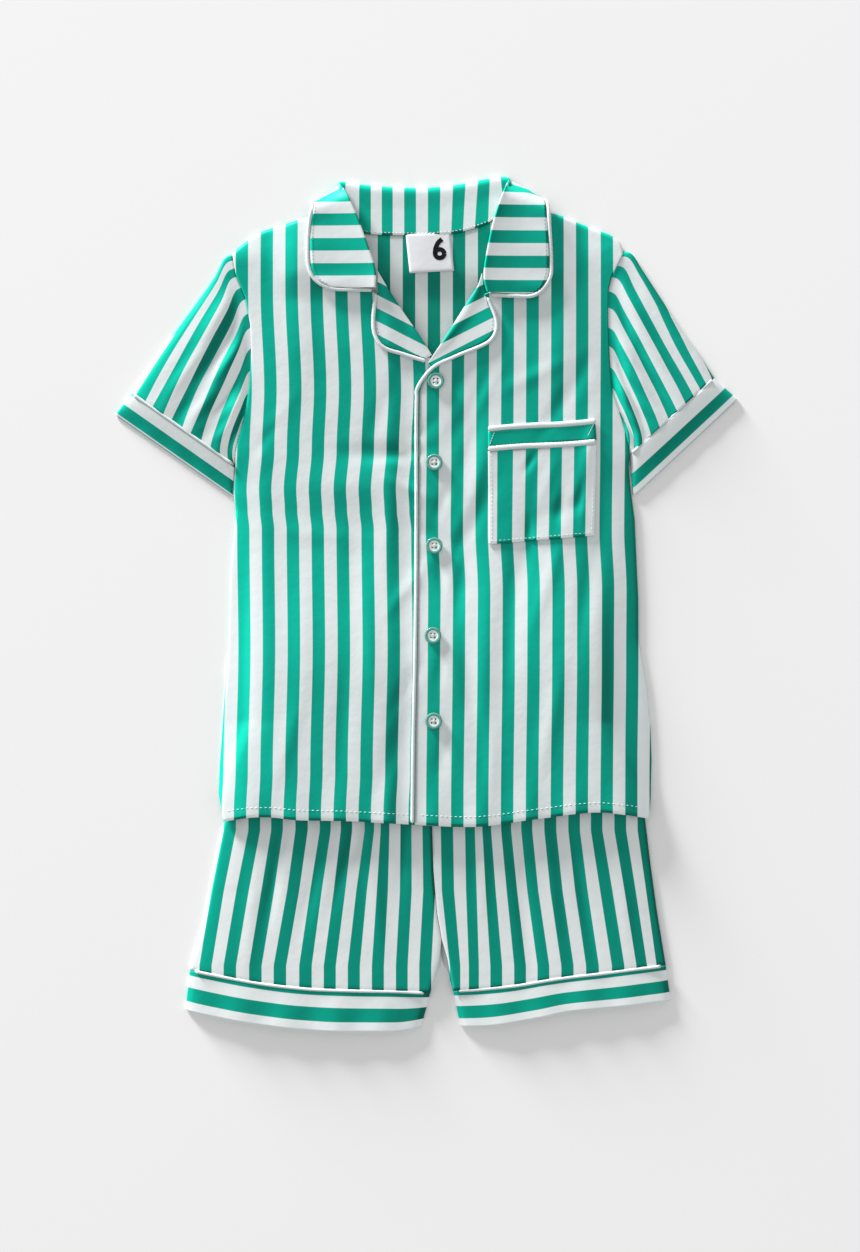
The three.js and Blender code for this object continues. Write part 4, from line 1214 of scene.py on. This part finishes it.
def makeButton():
    body = meshObject("buttonPattern", turnedNet(buttonProfile, 48), materials["pearl"])
    net = bmesh.new()
    for x, y in holePlaces:
        place = Matrix.Translation((x, y, 1))
        bmesh.ops.create_cone(
            net, cap_ends=True, segments=16, radius1=holeRadius, radius2=holeRadius, depth=4, matrix=place
        )
    holes = meshObject("buttonHoles", net, materials["pearl"], smooth=False)
    cut = body.modifiers.new("holes", "BOOLEAN")
    cut.operation = "DIFFERENCE"
    cut.object = holes
    evaluated = body.evaluated_get(bpy.context.evaluated_depsgraph_get())
    mesh = bpy.data.meshes.new_from_object(evaluated)
    bpy.data.objects.remove(body)
    bpy.data.objects.remove(holes)
    return mesh


buttonMesh = makeButton()
buttonMesh.materials.append(materials["rim"])
buttonMesh.materials.append(materials["holeShade"])
# Hole walls get the near-black material, painted shade inside the holes, and faces out past the dish get the
# clear rim
for face in buttonMesh.polygons:
    centre = face.center / mm
    fromHole = min(math.hypot(centre.x - x, centre.y - y) for x, y in holePlaces)
    if fromHole < 1.05 * holeRadius and abs(face.normal.z) < 0.5:
        face.material_index = 2
    elif math.hypot(centre.x, centre.y) > dishRadius:
        face.material_index = 1
for i, (x, y) in enumerate(buttonPlaces):
    around = [
        leftFrontTop(x + buttonRadius * math.cos(0.57 * k), y + buttonRadius * math.sin(0.57 * k))
        for k in range(11)
    ]
    base = max(around + [leftFrontTop(x, y)]) + layGap
    mesh = buttonMesh.copy()
    mesh.transform(Matrix.Translation(Vector((x, y, base)) * mm))
    button = bpy.data.objects.new(f"button{i + 1}", mesh)
    bpy.context.collection.objects.link(button)
    keep(button, [f"button_{i + 1}"])
    net = bmesh.new()
    for turn in (45, 135):
        for beside in (-0.3, 0.3):
            angle = math.radians(turn + 6 * i)
            way = Vector((math.cos(angle), math.sin(angle), 0))
            middle = Vector((x, y, base + 1.62)) + Vector((-way.y, way.x, 0)) * beside
            rodNet(net, middle - way * 2.1, middle + way * 2.1, 0.36)
    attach(meshObject(f"buttonThread{i + 1}", net, materials["thread"]), "root")

print("stitches")
neckRun = onCollar(0.022, 0.39, 0.62, 60, 0.6)
leftEdge = onCollar(0.975, 0.02, 0.24, 60, 0.62)
rightEdge = onCollar(0.975, 0.76, 0.98, 60, 0.62)
stitches("neckStitches", [neckRun], 2.0, 1.0, 0.26)
stitches("collarStitches", [leftEdge, rightEdge], 1.7, 1.3, 0.2, "greenThread")


def lapelRun(side, top):
    edge = smoothCurve(lapels[side]["edge"])
    roll = smoothCurve(lapels[side]["roll"])
    run = []
    for i in range(25):
        t = mix(0.06, 0.94, i / 24)
        point = edge(t).lerp(roll(t), 0.07)
        run.append((point.x, point.y, top(point.x, point.y) + 2.05))
    return run


stitches(
    "lapelStitches", [lapelRun("right", rightFrontTop), lapelRun("left", leftFrontTop)], 1.7, 1.3, 0.2,
    "greenThread",
)

print("label")
label = {"left": (-16.3, 295), "right": (19.2, 297), "drop": 31, "lean": 3.2}
labelPlan = fourCorners(
    label["left"], label["right"], (label["left"][0] + label["lean"], label["left"][1] - label["drop"]),
    (label["right"][0] + label["lean"], label["right"][1] - label["drop"]),
)


def labelTop(x, y, across, down):
    return backUnder(x, y) + wall + 0.85 + 0.5 * down + 0.25 * math.sin(across * 5)


labelPiece = lyingSheet(
    "labelRibbon", labelPlan, labelTop, 20, 20, lambda x, y, a, d: (a, d), ["label"], 0.5, "label",
)


# Plain numeral printed on the label: a bowl and a stem that bends over it
def numeralPiece():
    middle = Vector((10.9, 279.6, 0))
    bowl = [(3.6 * math.cos(0.2618 * k), 3.4 * math.sin(0.2618 * k)) for k in range(25)]
    stem = [(-3.6, 0.2), (-3.5, 2.8), (-2.6, 6.0), (-0.8, 9.2), (1.9, 11.6)]
    net = bmesh.new()
    steps = 48
    for points in (bowl, stem):
        curve = smoothCurve(points)
        rows = []
        for i in range(steps + 1):
            here = curve(i / steps)
            along = (curve(min(1, (i + 0.5) / steps)) - curve(max(0, (i - 0.5) / steps))).normalized()
            side = Vector((-along.y, along.x, 0)) * 1.85
            row = []
            for p in (here + side + middle, here - side + middle):
                share = clamp((p.x - label["left"][0] - 1.6) / 35.5)
                height = labelTop(p.x, p.y, share, clamp((296 - p.y) / 31)) + 0.14
                row.append(net.verts.new((p.x, p.y, height)))
            rows.append(row)
        for before, after in zip(rows, rows[1:]):
            net.faces.new((before[0], before[1], after[1], after[0]))
    bmesh.ops.recalc_face_normals(net, faces=net.faces)
    piece = meshObject("numeral", net, materials["ink"], smooth=False)
    thicken(piece, 0.08, 0)
    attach(piece, "root")


numeralPiece()

floorNet = bmesh.new()
bmesh.ops.create_grid(floorNet, x_segments=1, y_segments=1, size=4000)
floor = meshObject("floor", floorNet, materials["floor"], smooth=False)

# Cuts that the cloth was laid from, in millimetres
cuts = [
    ("backPanel", 345, 490, ["floor", "waistbandRing", "shortsFrontRight", "shortsFrontLeft"]),
    ("frontRight", 186, 490, ["backPanel"]),
    ("frontLeft", 190, 491, ["backPanel"]),
    ("collarFold", 400, 75, ["backPanel", "frontRight", "frontLeft"]),
    ("lapelRight", 48, 70, ["frontRight"]),
    ("lapelLeft", 52, 76, ["frontLeft"]),
    ("sleeveRight", 340, 150, ["floor"]),
    ("sleeveLeft", 340, 140, ["floor"]),
    ("cuffRight", 215, 30, ["floor"]),
    ("cuffLeft", 215, 34, ["floor"]),
    ("pocketPanel", 87, 76, ["frontLeft"]),
    ("pocketBand", 87, 11, ["frontLeft"]),
    ("labelRibbon", 36, 31, ["backPanel"]),
    ("shortsFrontRight", 200, 220, ["shortsBackRight"]),
    ("shortsFrontLeft", 200, 216, ["shortsBackLeft"]),
    ("shortsBackRight", 200, 220, ["floor"]),
    ("shortsBackLeft", 200, 216, ["floor"]),
    ("shortsCuffRight", 400, 34, ["floor"]),
    ("shortsCuffLeft", 360, 34, ["floor"]),
    ("waistbandRing", 520, 26, ["floor"]),
]
for name, width, length, restsOn in cuts:
    declareSheet(pieces[name], width, length, restsOn)

print("lights")
world = bpy.data.worlds.new("studio")
world.use_nodes = True
world.node_tree.nodes["Background"].inputs["Color"].default_value = (1, 1, 1, 1)
world.node_tree.nodes["Background"].inputs["Strength"].default_value = 0.63
bpy.context.scene.world = world


def areaLight(name, place, size, power):
    data = bpy.data.lights.new(name, "AREA")
    data.size = size
    data.energy = power
    lamp = bpy.data.objects.new(name, data)
    bpy.context.collection.objects.link(lamp)
    lamp.location = place
    lamp.rotation_euler = (-Vector(place)).to_track_quat("-Z", "Y").to_euler()


areaLight("key", (-8.5, 11.5, 1.75), 3.2, 5800)
